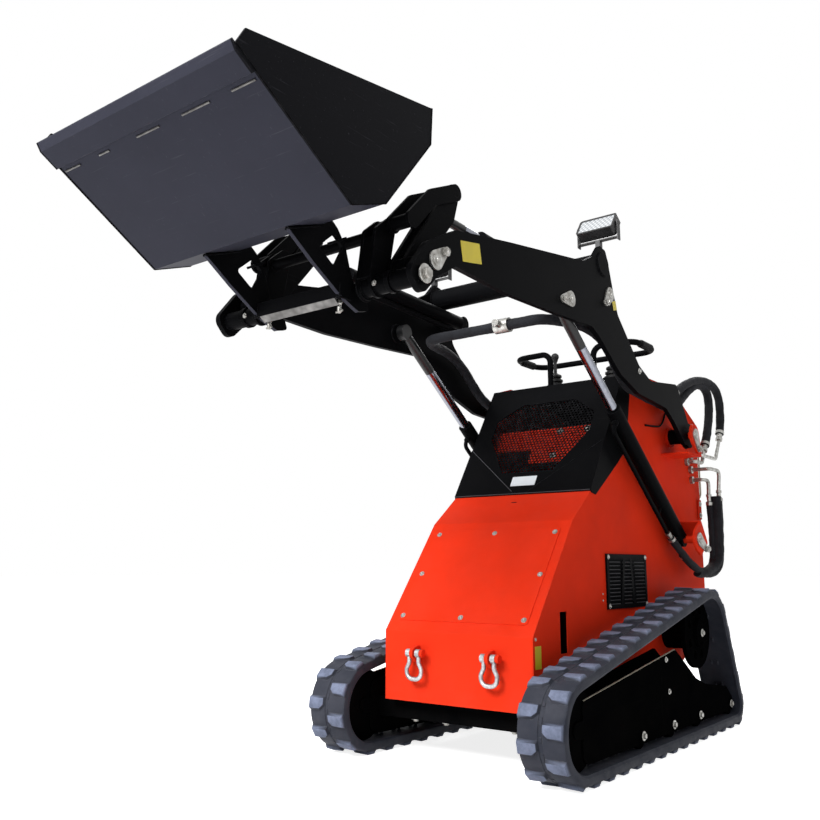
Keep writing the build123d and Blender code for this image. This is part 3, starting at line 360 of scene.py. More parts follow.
def makeMetal(name, look):
    material, tree, shader = startMaterial(name, Metallic=1.0)
    coords = objectCoords(tree)
    spots = addNode(tree, "TexVoronoi", {"Vector": coords, "Scale": look["spot"]}).outputs["Distance"]
    cloud = noiseNode(tree, coords, 18.0, 5.0, 0.6)
    tone = mathNode(tree, "ADD", times(tree, spots, 0.5), cloud)
    edge = placeGroup(tree, softEdge, Radius=0.0012, Amount=0.4, Scale=60.0)
    base = mixColour(tree, ramp(tree, tone, 0.45, 0.95), look["colour"], look["dark"])
    grain = placeGroup(tree, fineGrain, Scale=500.0)
    feed(tree, shader, {
        "Base Color": mixColour(tree, edge["Mask"], base, shade(look["colour"], 1.4)),
        "Roughness": ramp(tree, tone, 0.3, 1.0, look["rough"] - 0.08, look["rough"] + 0.16),
        "Normal": bumpFrom(tree, grain["Height"], 0.12, 0.0004, Normal=edge["Normal"])})
    return material


chromeLook = {"dark": (0.19, 0.20, 0.24), "light": (0.30, 0.31, 0.35), "soften": 0.002}


def makeRodChrome(name, pin, blackReach):
    # hard chrome rod that is black over a reach from the eye
    material, tree, shader = startMaterial(name, Specular_IOR_Level=0.4)
    coords = objectCoords(tree)
    flat = addNode(tree, "VectorMath", {0: coords, 1: (0, 1, 1)}, "MULTIPLY").outputs["Vector"]
    reach = addNode(tree, "VectorMath", {0: flat, 1: at(0, *pin)}, "DISTANCE").outputs["Value"]
    blackEnd = ramp(tree, reach, blackReach + chromeLook["soften"], blackReach)
    cloud = noiseNode(tree, stretched(tree, coords, (30, 6, 6)), 12.0, 4.0, 0.6)
    chrome = mixColour(tree, ramp(tree, cloud, 0.3, 0.7), chromeLook["dark"], chromeLook["light"])
    rough = ramp(tree, cloud, 0.2, 0.8, 0.09, 0.17)
    edge = placeGroup(tree, softEdge, Radius=0.0015, Amount=0.0, Scale=40.0)
    feed(tree, shader, {
        "Base Color": mixColour(tree, blackEnd, chrome, paints["satinBlack"]["colour"]),
        "Metallic": mathNode(tree, "SUBTRACT", 1.0, blackEnd),
        "Roughness": mathNode(tree, "ADD", rough, times(tree, blackEnd, 0.25)),
        "Normal": bumpFrom(tree, cloud, 0.04, 0.0004, Normal=edge["Normal"])})
    return material


rubberLook = {"dark": (0.024, 0.027, 0.038), "light": (0.045, 0.047, 0.060), "scuffDark": (0.128, 0.150, 0.220),
              "scuffLight": (0.23, 0.265, 0.38), "edge": (0.13, 0.135, 0.15), "ribPitch": 0.0042}


def makeTrackRubber():
    # moulded rubber: lug tops are scuffed pale along fine ribs, less so in the grooves between them
    look = rubberLook
    material, tree, shader = startMaterial("trackRubber", Specular_IOR_Level=0.10)
    coords = objectCoords(tree)
    worn = tree.nodes.new("ShaderNodeAttribute")
    worn.attribute_name = "wornTop"
    worn = worn.outputs["Fac"]
    ribs = waveNode(tree, partsOf(tree, coords)["X"], look["ribPitch"])
    cloud = noiseNode(tree, coords, 26.0, 6.0, 0.65)
    broad = noiseNode(tree, coords, 7.0, 5.0, 0.6)
    edge = placeGroup(tree, softEdge, Radius=0.003, Amount=0.55, Scale=50.0)
    rubber = mixColour(tree, ramp(tree, broad, 0.35, 0.7), look["dark"], look["light"])
    pale = mixColour(tree, ramp(tree, cloud, 0.35, 0.65), look["scuffDark"], look["scuffLight"])
    scuff = times(tree, worn, ramp(tree, ribs, -1.0, 1.0, 0.62, 1.0))
    scuff = times(tree, scuff, ramp(tree, broad, 0.2, 0.6, 0.75, 1.0))
    height = mathNode(tree, "ADD", times(tree, cloud, 0.8), times(tree, times(tree, ribs, worn), 0.5))
    feed(tree, shader, {
        "Base Color": mixColour(tree, edge["Mask"], mixColour(tree, scuff, rubber, pale), look["edge"]),
        "Roughness": ramp(tree, cloud, 0.3, 0.7, 0.50, 0.72),
        "Normal": bumpFrom(tree, height, 0.45, 0.0012, Normal=edge["Normal"])})
    return material


sleeveLook = {"dark": (0.0065, 0.0065, 0.0075), "light": (0.020, 0.021, 0.025), "ridge": (0.045, 0.047, 0.055),
              "pitch": 0.0065}


def makeSleeve():
    # woven nylon sleeve: strands and worn ridges
    look = sleeveLook
    material, tree, shader = startMaterial("hoseSleeve", Specular_IOR_Level=0.06, Sheen_Weight=0.02)
    weave = placeGroup(tree, sleeveWeave, Pitch=look["pitch"])["Height"]
    cloud = noiseNode(tree, objectCoords(tree), 22.0, 6.0, 0.65)
    base = mixColour(tree, ramp(tree, cloud, 0.35, 0.7), look["dark"], look["light"])
    height = mathNode(tree, "ADD", weave, times(tree, cloud, 2.0))
    feed(tree, shader, {
        "Base Color": mixColour(tree, ramp(tree, weave, 0.2, 1.0, 0.0, 0.35), base, look["ridge"]),
        "Roughness": ramp(tree, cloud, 0.3, 0.7, 0.55, 0.8),
        "Normal": bumpFrom(tree, height, 0.4, 0.0011)})
    return material


softs = {
    "mouldedRubber": {"colour": (0.010, 0.010, 0.011), "rough": 0.55, "shine": 0.3, "scale": 300.0, "bump": 0.25},
    "gripFoam": {"colour": (0.012, 0.012, 0.013), "rough": 0.85, "shine": 0.2, "scale": 700.0, "bump": 0.7},
    "padVinyl": {"colour": (0.52, 0.47, 0.39), "rough": 0.48, "shine": 0.35, "scale": 380.0, "bump": 0.35},
    "lampPlastic": {"colour": (0.012, 0.012, 0.013), "rough": 0.42, "shine": 0.35, "scale": 450.0, "bump": 0.2},
    "engineIron": {"colour": (0.045, 0.047, 0.05), "rough": 0.55, "shine": 0.3, "scale": 90.0, "bump": 0.4},
    "paleTopEdge": {"colour": (0.62, 0.57, 0.44), "rough": 0.5, "shine": 0.3, "scale": 300.0, "bump": 0.1},
    # a lighter black for edges and slat lips: a painted highlight where they catch the light
    "highlightEdge": {"colour": (0.045, 0.046, 0.052), "rough": 0.4, "shine": 0.2, "scale": 300.0, "bump": 0.1},
    "yellowLabel": {"colour": (0.72, 0.58, 0.03), "rough": 0.34, "shine": 0.4, "scale": 220.0, "bump": 0.06},
    "whiteLabel": {"colour": (0.72, 0.76, 0.80), "rough": 0.34, "shine": 0.4, "scale": 220.0, "bump": 0.06},
}
softDust = (0.25, 0.23, 0.20)


def makeMoulded(name, look):
    material, tree, shader = startMaterial(name, Specular_IOR_Level=look["shine"])
    grain = placeGroup(tree, fineGrain, Scale=look["scale"])
    edge = placeGroup(tree, softEdge, Radius=0.0015, Amount=0.25, Scale=40.0)
    dust = placeGroup(tree, dustFilm, Amount=0.12, Top=0.3, Scale=9.0)["Mask"]
    cloud = ramp(tree, grain["Cloud"], 0.3, 0.7)
    base = mixColour(tree, cloud, shade(look["colour"], 0.86), shade(look["colour"], 1.12))
    base = mixColour(tree, edge["Mask"], base, shade(look["colour"], 1.8))
    feed(tree, shader, {
        "Base Color": mixColour(tree, dust, base, softDust),
        "Roughness": ramp(tree, grain["Cloud"], 0.25, 0.75, look["rough"] - 0.05, look["rough"] + 0.08),
        "Normal": bumpFrom(tree, grain["Height"], look["bump"], 0.0008, Normal=edge["Normal"])})
    return material


glassLook = {"dark": (0.20, 0.22, 0.24), "light": (0.78, 0.80, 0.82), "across": 0.018, "up": 0.024, "tilt": 35}


def makeLampGlass():
    # pressed glass over a bright reflector: small square facets
    look = glassLook
    material, tree, shader = startMaterial("lampGlass", Coat_Weight=1.0, Coat_Roughness=0.05)
    parts = partsOf(tree, stretched(tree, objectCoords(tree), (1, 1, 1), (look["tilt"], 0, 0)))
    facet = times(tree, waveNode(tree, parts["X"], look["across"]), waveNode(tree, parts["Z"], look["up"]))
    feed(tree, shader, {
        "Base Color": mixColour(tree, ramp(tree, facet, -1.0, 1.0), look["dark"], look["light"]),
        "Roughness": ramp(tree, facet, -1.0, 1.0, 0.12, 0.3),
        "Metallic": ramp(tree, facet, -1.0, 1.0, 0.2, 0.7),
        "Normal": bumpFrom(tree, facet, 0.6, 0.002)})
    return material


liftBase, liftPin, tiltPin = (1345.0, 812.0), (213.0, 1665.0), (-440.0, 1800.0)
finishes = {name: makePaint(name, look) for name, look in paints.items()}
finishes.update({name: makeMetal(name, look) for name, look in metals.items()})
finishes.update({name: makeMoulded(name, look) for name, look in softs.items()})
finishes["trackRubber"] = makeTrackRubber()
finishes["hoseSleeve"] = makeSleeve()
finishes["lampGlass"] = makeLampGlass()
finishes["liftChrome"] = makeRodChrome("liftChrome", liftPin, 0.228)
finishes["tiltChrome"] = makeRodChrome("tiltChrome", tiltPin, 0.120)
print("finishes ready", len(finishes))

# finish of each frame node that keeps its own shape; a star stands for left and right
nodeFinish = {
    "bodyRed": "side_panel_* nose_panel nose_cover rear_panel shroud_panel tow_lugs pivot_brackets_*",
    "satinBlack": "engine_cowl louvres arm_* arm_tubes control_deck handlebar lift_tube_* tilt_tube_* rocker_* "
                  "link_* mount_frame bucket_ribs platform cowl_mesh",
    "frameBlack": "track_frame_* track_wheels_* sprocket_* belly_frame",
    "bucketBlack": "bucket_shell cutting_edge",
    "mouldedRubber": "joysticks",
    "engineIron": "engine_block",
    "galvanised": "shackles",
    "zincPlate": "body_hardware arm_hardware",
    "lampPlastic": "work_lamp_*",
    "lampGlass": "lamp_lenses",
    "padVinyl": "rear_pad",
    "hoseSleeve": "loop_hoses_* lift_hoses_* arm_hoses",
    "trackRubber": "track_*",
    "liftChrome": "lift_rod_*",
    "tiltChrome": "tilt_rod_*",
}
for finish, members in nodeFinish.items():
    for member in members.split():
        for name in (member.replace("*", "left"), member.replace("*", "right")):
            for slot in nodes[name].material_slots:
                slot.material = finishes[finish]
print("frame nodes finished")

# modelling helpers: everything in millimetres until finishPiece
forward, rearward = Vector((0, -1, 0)), Vector((0, 1, 0))
leftward, upward, downward = Vector((1, 0, 0)), Vector((0, 0, 1)), Vector((0, 0, -1))


def frameOf(origin, across, out):
    # local x along across, z along out
    out = out.normalized()
    side = (across - out * across.dot(out)).normalized()
    turn = Matrix((side, out.cross(side), out)).transposed().to_4x4()
    return Matrix.Translation(origin) @ turn


def facingFrame(origin, out):
    across = leftward if abs(out.normalized().x) < 0.9 else rearward
    return frameOf(Vector(origin), across, out)


def sideFrame(side, x, station, height, climb=0.0):
    # on a sheet that faces left or right; climb tilts its long edge
    return frameOf(Vector((side * x, station, height)), Vector((0, 1, climb)) * side, leftward * side)


def slopeFrame(foot, top, lift=0.0):
    # on a sheet across the machine: x across, y up the slope, z outwards
    rise = (Vector((0, *top)) - Vector((0, *foot))).normalized()
    out = leftward.cross(rise)
    return frameOf(Vector((0, *foot)) + out * lift, leftward, out)


def shifted(x, y, z):
    return Matrix.Translation((x, y, z))


def finishPiece(bm, name, body, *finish, slot, turnOut=True):
    if turnOut:
        bmesh.ops.recalc_face_normals(bm, faces=bm.faces)
    bmesh.ops.scale(bm, vec=(mm, mm, mm), verts=bm.verts)
    bmesh.ops.translate(bm, vec=(0, -originStation * mm, 0), verts=bm.verts)
    for face in bm.faces:
        face.smooth = True
    for edge in bm.edges:
        edge.smooth = edge.calc_face_angle(0.0) < radians(32)
    piece = placeObject(name, asMesh(bm, name))
    for label in finish:
        piece.data.materials.append(finishes[label])
    if body:
        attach(piece, body)
    return piece


def mirrored(bm):
    bmesh.ops.scale(bm, vec=(-1, 1, 1), verts=bm.verts)
    bmesh.ops.reverse_faces(bm, faces=bm.faces)


def addShape(bm, template, place, finish=0):
    # a copy of a small mesh, moved to its place
    shape = template.copy()
    shape.transform(place)
    if place.determinant() < 0:
        shape.flip_normals()
    for face in shape.polygons:
        face.material_index = finish
    bm.from_mesh(shape)
    bpy.data.meshes.remove(shape)


def softenEdges(bm, edges, width, segments=2):
    bmesh.ops.bevel(bm, geom=list(edges), offset=width, offset_type="OFFSET", affect="EDGES",
                    segments=segments, profile=0.5, material=-1, clamp_overlap=True)


def sharpEdges(bm, angle):
    return [edge for edge in bm.edges if edge.is_manifold and edge.calc_face_angle(0.0) > radians(angle)]


def runsAlong(edge, axis):
    return abs((edge.verts[0].co - edge.verts[1].co).normalized()[axis]) > 0.9


def addBlock(bm, size, place):
    return bmesh.ops.create_cube(bm, size=1.0, matrix=place @ Matrix.Diagonal((*size, 1)))["verts"]


def addCone(bm, segments, foot, top, depth, place):
    return bmesh.ops.create_cone(bm, cap_ends=True, segments=segments, radius1=foot, radius2=top,
                                 depth=depth, matrix=place)["verts"]


def upperEdges(verts, height):
    return {e for v in verts for e in v.link_edges if all(w.co.z > height for w in e.verts)}


def makeHexBolt():
    # unit bolt: 1 across the flats, on its washer
    bm = bmesh.new()
    addCone(bm, 20, 0.98, 0.98, 0.16, shifted(0, 0, 0.08))
    softenEdges(bm, sharpEdges(bm, 60), 0.04, 1)
    head = addCone(bm, 6, 0.577, 0.577, 0.42, shifted(0, 0, 0.37))
    softenEdges(bm, upperEdges(head, 0.5), 0.05)
    return asMesh(bm, "hexBolt")


def makeRoundScrew():
    # domed screw with a socket in its head
    bm = bmesh.new()
    addCone(bm, 18, 0.9, 0.9, 0.14, shifted(0, 0, 0.07))
    dome = addCone(bm, 16, 0.6, 0.52, 0.34, shifted(0, 0, 0.31))
    softenEdges(bm, upperEdges(dome, 0.45), 0.12, 3)
    top = max((f for f in bm.faces if f.normal.z > 0.9), key=lambda f: f.calc_center_median().z)
    bmesh.ops.inset_individual(bm, faces=[top], thickness=0.17, depth=0.0)
    bmesh.ops.translate(bm, vec=(0, 0, -0.16), verts=top.verts)
    return asMesh(bm, "roundScrew")


hexBolt, roundScrew = makeHexBolt(), makeRoundScrew()


def addFastener(bm, template, origin, out, across, finish=0):
    addShape(bm, template, facingFrame(origin, out) @ Matrix.Scale(across, 4), finish)


def addPlate(bm, place, width, height, thick, corner=2.0, finish=0):
    # flat plate with rounded corners, lying on a frame's x-y plane
    plate = bmesh.new()
    addBlock(plate, (width, height, thick), shifted(0, 0, thick / 2))
    softenEdges(plate, [e for e in plate.edges if runsAlong(e, 2)], corner, 3)
    template = asMesh(plate, "plate")
    addShape(bm, template, place, finish)
    bpy.data.meshes.remove(template)


def newRing(bm, count):
    # the points of a closed ring, in order
    ring = bmesh.ops.create_circle(bm, segments=count, radius=1.0, cap_ends=False,
                                   matrix=Matrix.Identity(4))["verts"]
    return sorted(ring, key=lambda v: atan2(v.co.y, v.co.x))


def drawOut(bm, ring):
    # the next ring, drawn out from this one, and the faces between them
    edges = [bm.edges.get((ring[i - 1], ring[i])) for i in range(len(ring))]
    made = bmesh.ops.extrude_edge_only(bm, edges=edges)["geom"]
    fresh = {g for g in made if isinstance(g, bmesh.types.BMVert)}
    following = [next(e.other_vert(v) for e in v.link_edges if e.other_vert(v) in fresh) for v in ring]
    return following, [g for g in made if isinstance(g, bmesh.types.BMFace)]


def ringFrames(points, side=None):
    # a frame at each point of a line, turned as little as can be from one to the next
    frames = []
    for index, point in enumerate(points):
        run = (points[min(index + 1, len(points) - 1)] - points[max(index - 1, 0)]).normalized()
        if side is None:
            side = run.orthogonal().normalized()
        side = (side - run * side.dot(run)).normalized()
        frames.append(frameOf(point, side, run))
    return frames


def addTube(bm, points, radiusAt, segments=16, finish=0, side=None):
    # a tube along points: rings drawn out one from the next; its UV is in metres round and along
    uvLayer = bm.loops.layers.uv.verify()
    girth = 2 * pi * radiusAt(0, 0) * mm
    ring = first = newRing(bm, segments)
    flat = [v.co.copy() for v in ring]
    run = 0.0
    for index, place in enumerate(ringFrames(points, side)):
        if index:
            start, run = run, run + (points[index] - points[index - 1]).length
            following, faces = drawOut(bm, ring)
            rank = {v: (i, start) for i, v in enumerate(ring)}
            rank.update({v: (i, run) for i, v in enumerate(following)})
            for face in faces:
                face.material_index = finish
                turns = [rank[loop.vert][0] for loop in face.loops]
                wraps = max(turns) - min(turns) > 1
                for loop in face.loops:
                    turn, along = rank[loop.vert]
                    if wraps and turn == 0:
                        turn = segments
                    loop[uvLayer].uv = (turn / segments * girth, along * mm)
            ring = following
        for turn, (vert, co) in enumerate(zip(ring, flat)):
            vert.co = place @ (co * radiusAt(run, 2 * pi * turn / segments))
    for end in (first, ring):
        for face in bmesh.ops.contextual_create(bm, geom=end)["faces"]:
            face.material_index = finish


def curvePoints(route):
    # points of the smooth line that a route's control points give
    data = bpy.data.curves.new("route", "CURVE")
    data.dimensions = "3D"
    data.resolution_u = 10
    spline = data.splines.new("NURBS")
    spline.points.add(len(route) - 1)
    for point, place in zip(spline.points, route):
        point.co = (*place, 1.0)
    spline.order_u = 3
    spline.use_endpoint_u = True
    obj = bpy.data.objects.new("route", data)
    mesh = bpy.data.meshes.new_from_object(obj)
    points = [v.co.copy() for v in mesh.vertices]
    bpy.data.objects.remove(obj)
    bpy.data.curves.remove(data)
    bpy.data.meshes.remove(mesh)
    return points


def evenly(points, step):
    # the same line with points about a step apart
    out = [points[0]]
    left = step
    for start, end in zip(points, points[1:]):
        length = (end - start).length
        done = 0.0
        while length - done >= left:
            done += left
            out.append(start.lerp(end, done / length))
            left = step
        left -= length - done
    if (out[-1] - points[-1]).length < step * 0.4:
        out.pop()
    return out + [points[-1]]


def addRod(bm, start, end, radius, step, segments, finish=0):
    # a straight tube of one thickness
    addTube(bm, evenly([Vector(start), Vector(end)], step), lambda run, turn: radius, segments, finish)


# tracks: belt, lugs in two staggered rows, guide horns inside; wheels are station, height, radius
trackLook = {"inner": 360.0, "width": 170.0, "belt": 33.0, "lugs": 36, "rise": 11.0, "across": 76.0,
             "base": 53.0, "inset": 1.5, "sunk": 4.0, "horn": 10.0, "hornSpread": 13.5,
             "wheels": ((22.0, 175.0, 131.0), (1233.0, 409.0, 148.0), (1484.0, 90.0, 46.0))}


def loopPoses(wheels, offset, arcStep):
    # station, height and outward angle round the belt, travelling to the rear along the top
    normals = []
    for index, (s0, z0, r0) in enumerate(wheels):
        s1, z1, r1 = wheels[(index + 1) % len(wheels)]
        normals.append(atan2(z1 - z0, s1 - s0) + acos((r0 - r1) / hypot(s1 - s0, z1 - z0)))
    poses = []
    for index, (s, z, r) in enumerate(wheels):
        entry, leave = normals[index - 1], normals[index]
        while entry < leave:
            entry += 2 * pi
        while entry - leave > 2 * pi:
            entry -= 2 * pi
        steps = max(2, int((entry - leave) / radians(arcStep)))
        for part in range(steps + 1):
            angle = entry + (leave - entry) * part / steps
            poses.append((s + (r + offset) * cos(angle), z + (r + offset) * sin(angle), angle))
    return poses


def beltFrame(station, height, angle):
    # local x across, y outwards, z along the travel
    out = Vector((0, cos(angle), sin(angle)))
    travel = Vector((0, sin(angle), -cos(angle)))
    turn = Matrix((leftward, out, travel)).transposed().to_4x4()
    return shifted(0, station, height) @ turn


def makeLug(look):
    # wedge-shaped lug, chamfered towards the belt's middle; local x across, y outwards, z travel
    bm = bmesh.new()
    tall = look["rise"] + look["sunk"]
    addBlock(bm, (look["across"], tall, look["base"]), shifted(0, tall / 2 - look["sunk"], 0))
    inner = [e for e in bm.edges if all(v.co.x < 0 and v.co.z < 0 for v in e.verts) and runsAlong(e, 1)]
    softenEdges(bm, inner, 20.0, 1)
    tops = [v for v in bm.verts if v.co.y > look["rise"] - 1]
    bmesh.ops.scale(bm, vec=(0.88, 1.0, 0.70), verts=tops, space=shifted(-4, 0, 0))
    bmesh.ops.translate(bm, vec=(0, -1.5, 0), verts=[v for v in tops if v.co.x < 0])
    softenEdges(bm, sharpEdges(bm, 12), 1.8)
    bottom = [f for f in bm.faces if f.normal.y < -0.9]
    bmesh.ops.delete(bm, geom=bottom, context="FACES")
    worn = bm.verts.layers.float.new("wornTop")
    for vert in bm.verts:
        vert[worn] = 1.0 if vert.co.y > look["rise"] - 2.2 else 0.0
    return asMesh(bm, "lug")


def beltSection(inner, outer, belt):
    # the belt's cross-section: a groove along its middle outside, two raised edges inside
    middle = (inner + outer) / 2
    return ((inner + 2, 0), (inner, 3), (inner, belt - 9), (inner + 3, belt - 3), (inner + 8, belt),
            (middle - 9, belt), (middle - 7, belt - 3), (middle + 7, belt - 3), (middle + 9, belt),
            (outer - 8, belt), (outer - 3, belt - 3), (outer, belt - 9), (outer, 6), (outer - 4, 3),
            (outer - 6, -2), (outer - 12, -2), (outer - 15, 0), (inner + 15, 0), (inner + 12, -2),
            (inner + 6, -2))


def makeTrack(side):
    look = trackLook
    bm = bmesh.new()
    bm.verts.layers.float.new("wornTop")
    inner, outer, belt = look["inner"], look["inner"] + look["width"], look["belt"]
    middle = (inner + outer) / 2
    flat = [Vector((x, y, 0)) for x, y in beltSection(inner, outer, belt)]
    ring = newRing(bm, len(flat))
    poses = loopPoses(look["wheels"], 0.0, 6.0)
    for number, pose in enumerate(poses + poses[:1]):
        if number:
            ring = drawOut(bm, ring)[0]
        place = beltFrame(*pose)
        for vert, co in zip(ring, flat):
            vert.co = place @ co
    bmesh.ops.remove_doubles(bm, verts=bm.verts, dist=0.01)

    dense = loopPoses(look["wheels"], belt, 1.5)
    dense.append(dense[0])
    lengths = [0.0]
    for before, after in zip(dense, dense[1:]):
        lengths.append(lengths[-1] + hypot(after[0] - before[0], after[1] - before[1]))

    def frameAt(share):
        goal = share % 1.0 * lengths[-1]
        index = next(i for i in range(1, len(lengths)) if lengths[i] >= goal)
        part = (goal - lengths[index - 1]) / max(lengths[index] - lengths[index - 1], 1e-6)
        start, end = dense[index - 1], dense[index]
        swing = (end[2] - start[2] + pi) % (2 * pi) - pi
        return beltFrame(start[0] + (end[0] - start[0]) * part, start[1] + (end[1] - start[1]) * part,
                         start[2] + swing * part)

    lug = makeLug(look)
    half = look["across"] / 2 + look["inset"]
    for row, (x, flip) in enumerate(((inner + half, -1), (outer - half, 1))):
        for index in range(look["lugs"]):
            place = frameAt((index + 0.5 * row) / look["lugs"])
            addShape(bm, lug, place @ shifted(x, 0, 0) @ Matrix.Diagonal((flip, 1, 1, 1)))
    for vert in bm.verts:
        vert.co.z = max(vert.co.z, 0.0)
    for index in range(look["lugs"] * 2):
        place = frameAt((index + 0.5) / look["lugs"] / 2)
        addBlock(bm, (10.5, 3.0, 24 if index % 2 else 15), place @ shifted(middle, -2.6, 0))
        for offset in (-look["hornSpread"], look["hornSpread"]) if index % 2 else ():
            foot = place @ shifted(middle + offset, -belt - look["horn"] / 2 + 0.5, 0)
            foot = foot @ Matrix.Rotation(radians(90), 4, "X") @ Matrix.Diagonal((0.2, 1, 1, 1))
            addCone(bm, 4, 17, 9, look["horn"], foot @ Matrix.Rotation(radians(45), 4, "Z"))
    bmesh.ops.recalc_face_normals(bm, faces=bm.faces)
    if side == "right":
        mirrored(bm)
    piece = finishPiece(bm, "rubberTrack_" + side, "chassis", "trackRubber", slot="track_rubber", turnOut=False)
    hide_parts("track_" + side)


for side in ("left", "right"):
    makeTrack(side)
print("tracks ready")

noseFoot, noseTop, noseFold, cowlTop = (48.0, 453.0), (367.0, 863.0), (525.0, 982.0), (862.0, 1500.0)

# perforated guard in the cowl's window
guardLook = {"x": (-252.0, 252.0), "up": (105.0, 522.0), "pitch": 16.0, "bridge": 3.4, "thick": 1.4,
             "sunk": -0.4, "margin": 8}


def makeGuard():
    look = guardLook
    pitch, margin = look["pitch"], look["margin"]
    cell = bmesh.new()
    bmesh.ops.create_circle(cell, cap_ends=True, segments=6, radius=pitch / 3 ** 0.5,
                            matrix=Matrix.Rotation(radians(30), 4, "Z"))
    face = cell.faces[:][0]
    bmesh.ops.inset_individual(cell, faces=[face], thickness=look["bridge"], depth=0.0)
    bmesh.ops.delete(cell, geom=[face], context="FACES_ONLY")
    template = asMesh(cell, "guardCell")
    bm = bmesh.new()
    rowPitch = pitch * 3 ** 0.5 / 2
    (x0, x1), (y0, y1) = look["x"], look["up"]
    for row in range(int((y1 - y0 - margin / 2) / rowPitch)):
        shift = pitch / 2 * (row % 2)
        for column in range(int((x1 - x0 - margin - shift) / pitch)):
            addShape(bm, template, shifted(x0 + margin + shift + column * pitch, y0 + margin + row * rowPitch, 0))
    bmesh.ops.remove_doubles(bm, verts=bm.verts, dist=0.02)
    bmesh.ops.solidify(bm, geom=bm.faces[:], thickness=look["thick"])
    bmesh.ops.transform(bm, matrix=slopeFrame(noseFold, cowlTop, look["sunk"]), verts=bm.verts)
    piece = finishPiece(bm, "cowlGuard", "chassis", "satinBlack", slot="black_paint")
    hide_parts("cowl_mesh")


makeGuard()
print("guard ready")

# hoses in woven sleeves, with crimped metal ends; wrap is the half width and half depth of the bundle's wrap
hoseLook = {"radius": 21.4, "bundle": 16.4, "step": 9.0, "segments": 20, "wrinkle": 1.6, "crimp": 15.0,
            "wrap": (35.0, 23.0), "wrapWrinkle": 0.06, "wrapEnd": 70.0, "skip": 4}
portLook = {"port": 45.0, "portOffset": 60.0, "lineStart": 144.0, "lineOffset": 76.0, "liftX": 362.0}
hoseRoutes = {
    "outerLoop": ((385, 1884, 1329), (385, 1936, 1425), (385, 1926, 1592), (380, 1730, 1624), (372, 1470, 1562),
                  (368, 1300, 1470)),
    "innerLoop": ((370, 1692, 1254), (370, 1778, 1370), (370, 1822, 1540), (370, 1740, 1600), (368, 1550, 1562),
                  (366, 1310, 1402)),
    "armRun": ((352, 1288, 1418), (352, 1130, 1424), (352, 960, 1435), (352, 800, 1446), (360, 600, 1636),
               (300, 262, 1628), (150, 262, 1628), (0, 262, 1628)),
    "wrap": ((404, 1708, 1030), (404, 1712, 860), (404, 1686, 660), (394, 1440, 660)),
}


def sleeveRadius(radius, wrinkle, seed):
    def radiusAt(run, turn):
        place = Vector((run * 0.021, cos(turn) * 1.1 + seed, sin(turn) * 1.1))
        folds = noise.noise(place * 1.0) + 0.6 * noise.noise(place * 2.7)
        ring = noise.noise(Vector((run * 0.055, seed * 3.1, 0.0)))
        return radius + wrinkle * (0.8 * folds + 0.7 * ring) - 0.35 * wrinkle
    return radiusAt


def addSleeve(bm, line, radius, seed):
    # the sleeve stops short of a crimped fitting at each end, held there by a band
    look = hoseLook
    points = evenly(line, look["step"])
    skip = look["skip"]
    crimp = look["crimp"] * radius / look["radius"]
    addTube(bm, points[skip:-skip], sleeveRadius(radius, look["wrinkle"], seed), look["segments"])

    def crimpRadius(run, turn):
        groove = 1.0 if run % 10 < 6 else 0.9
        return crimp * (1.16 if run < 13 else groove)

    for end in (points[:skip + 3], points[::-1][:skip + 3]):
        addTube(bm, evenly(end, 2.5), crimpRadius, 14, finish=1)
        addTube(bm, evenly(end, 3.0)[-6:], lambda run, turn: radius + 1.2, 16, finish=1)


def finishHoses(bm, name, side):
    bmesh.ops.recalc_face_normals(bm, faces=bm.faces)
    if side == "right":
        mirrored(bm)
    return finishPiece(bm, name + side, None, "hoseSleeve", "zincPlate", slot="hose_sleeve", turnOut=False)


def makeLoops(side):
    bm = bmesh.new()
    for seed, name in enumerate(("outerLoop", "innerLoop")):
        addSleeve(bm, curvePoints(hoseRoutes[name]), hoseLook["radius"], seed + 1.5)
    piece = finishHoses(bm, "loopHoses_", side)
    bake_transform(piece)
    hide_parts("loop_hoses_" + side)


def besideTube(distance, offset):
    # a point beside the lift cylinder: along it from its base, then square off below it
    run = (Vector(liftPin) - Vector(liftBase)).normalized()
    return Vector(liftBase) + run * distance + Vector((-run.y, run.x)) * offset


def makeBundle(side):
    look = portLook
    stub = besideTube(look["port"], look["portOffset"])
    elbow = stub + Vector((32, -24))
    tip = elbow + (elbow - stub).normalized() * 3
    first = besideTube(look["lineStart"], look["lineOffset"])
    routes = (((420, 1728, 1060), (420, 1722, 860), (418, 1694, 655), (400, 1400, 655), (look["liftX"], *first)),
              ((384, 1686, 1040), (387, 1700, 860), (390, 1672, 668), (380, 1440, 668), (look["liftX"], *tip)))
    bm = bmesh.new()
    for seed, route in enumerate(routes):
        addSleeve(bm, curvePoints(route), hoseLook["bundle"], seed + 7.5)
    wrap = evenly(curvePoints(hoseRoutes["wrap"]), hoseLook["step"])
    folds = sleeveRadius(1.0, hoseLook["wrapWrinkle"], 3.2)
    wide, thin = hoseLook["wrap"]
    length = sum((after - before).length for before, after in zip(wrap, wrap[1:]))

    def wrapRadius(run, turn):
        gather = 1.0 - 0.42 * max(0.0, 1.0 - (length - run) / hoseLook["wrapEnd"]) ** 1.5
        return gather * folds(run, turn) * wide * thin / hypot(thin * cos(turn), wide * sin(turn))
    addTube(bm, wrap, wrapRadius, hoseLook["segments"], side=leftward)
    piece = finishHoses(bm, "liftHoses_", side)
    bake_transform(piece)
    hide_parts("lift_hoses_" + side)


def makeArmRun():
    half = curvePoints(hoseRoutes["armRun"])
    whole = half + [Vector((-p.x, p.y, p.z)) for p in half[-2::-1]]
    bm = bmesh.new()
    addSleeve(bm, whole, hoseLook["radius"], 11.5)
    piece = finishPiece(bm, "armHoses", "arms", "hoseSleeve", "zincPlate", slot="hose_sleeve")
    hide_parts("arm_hoses")


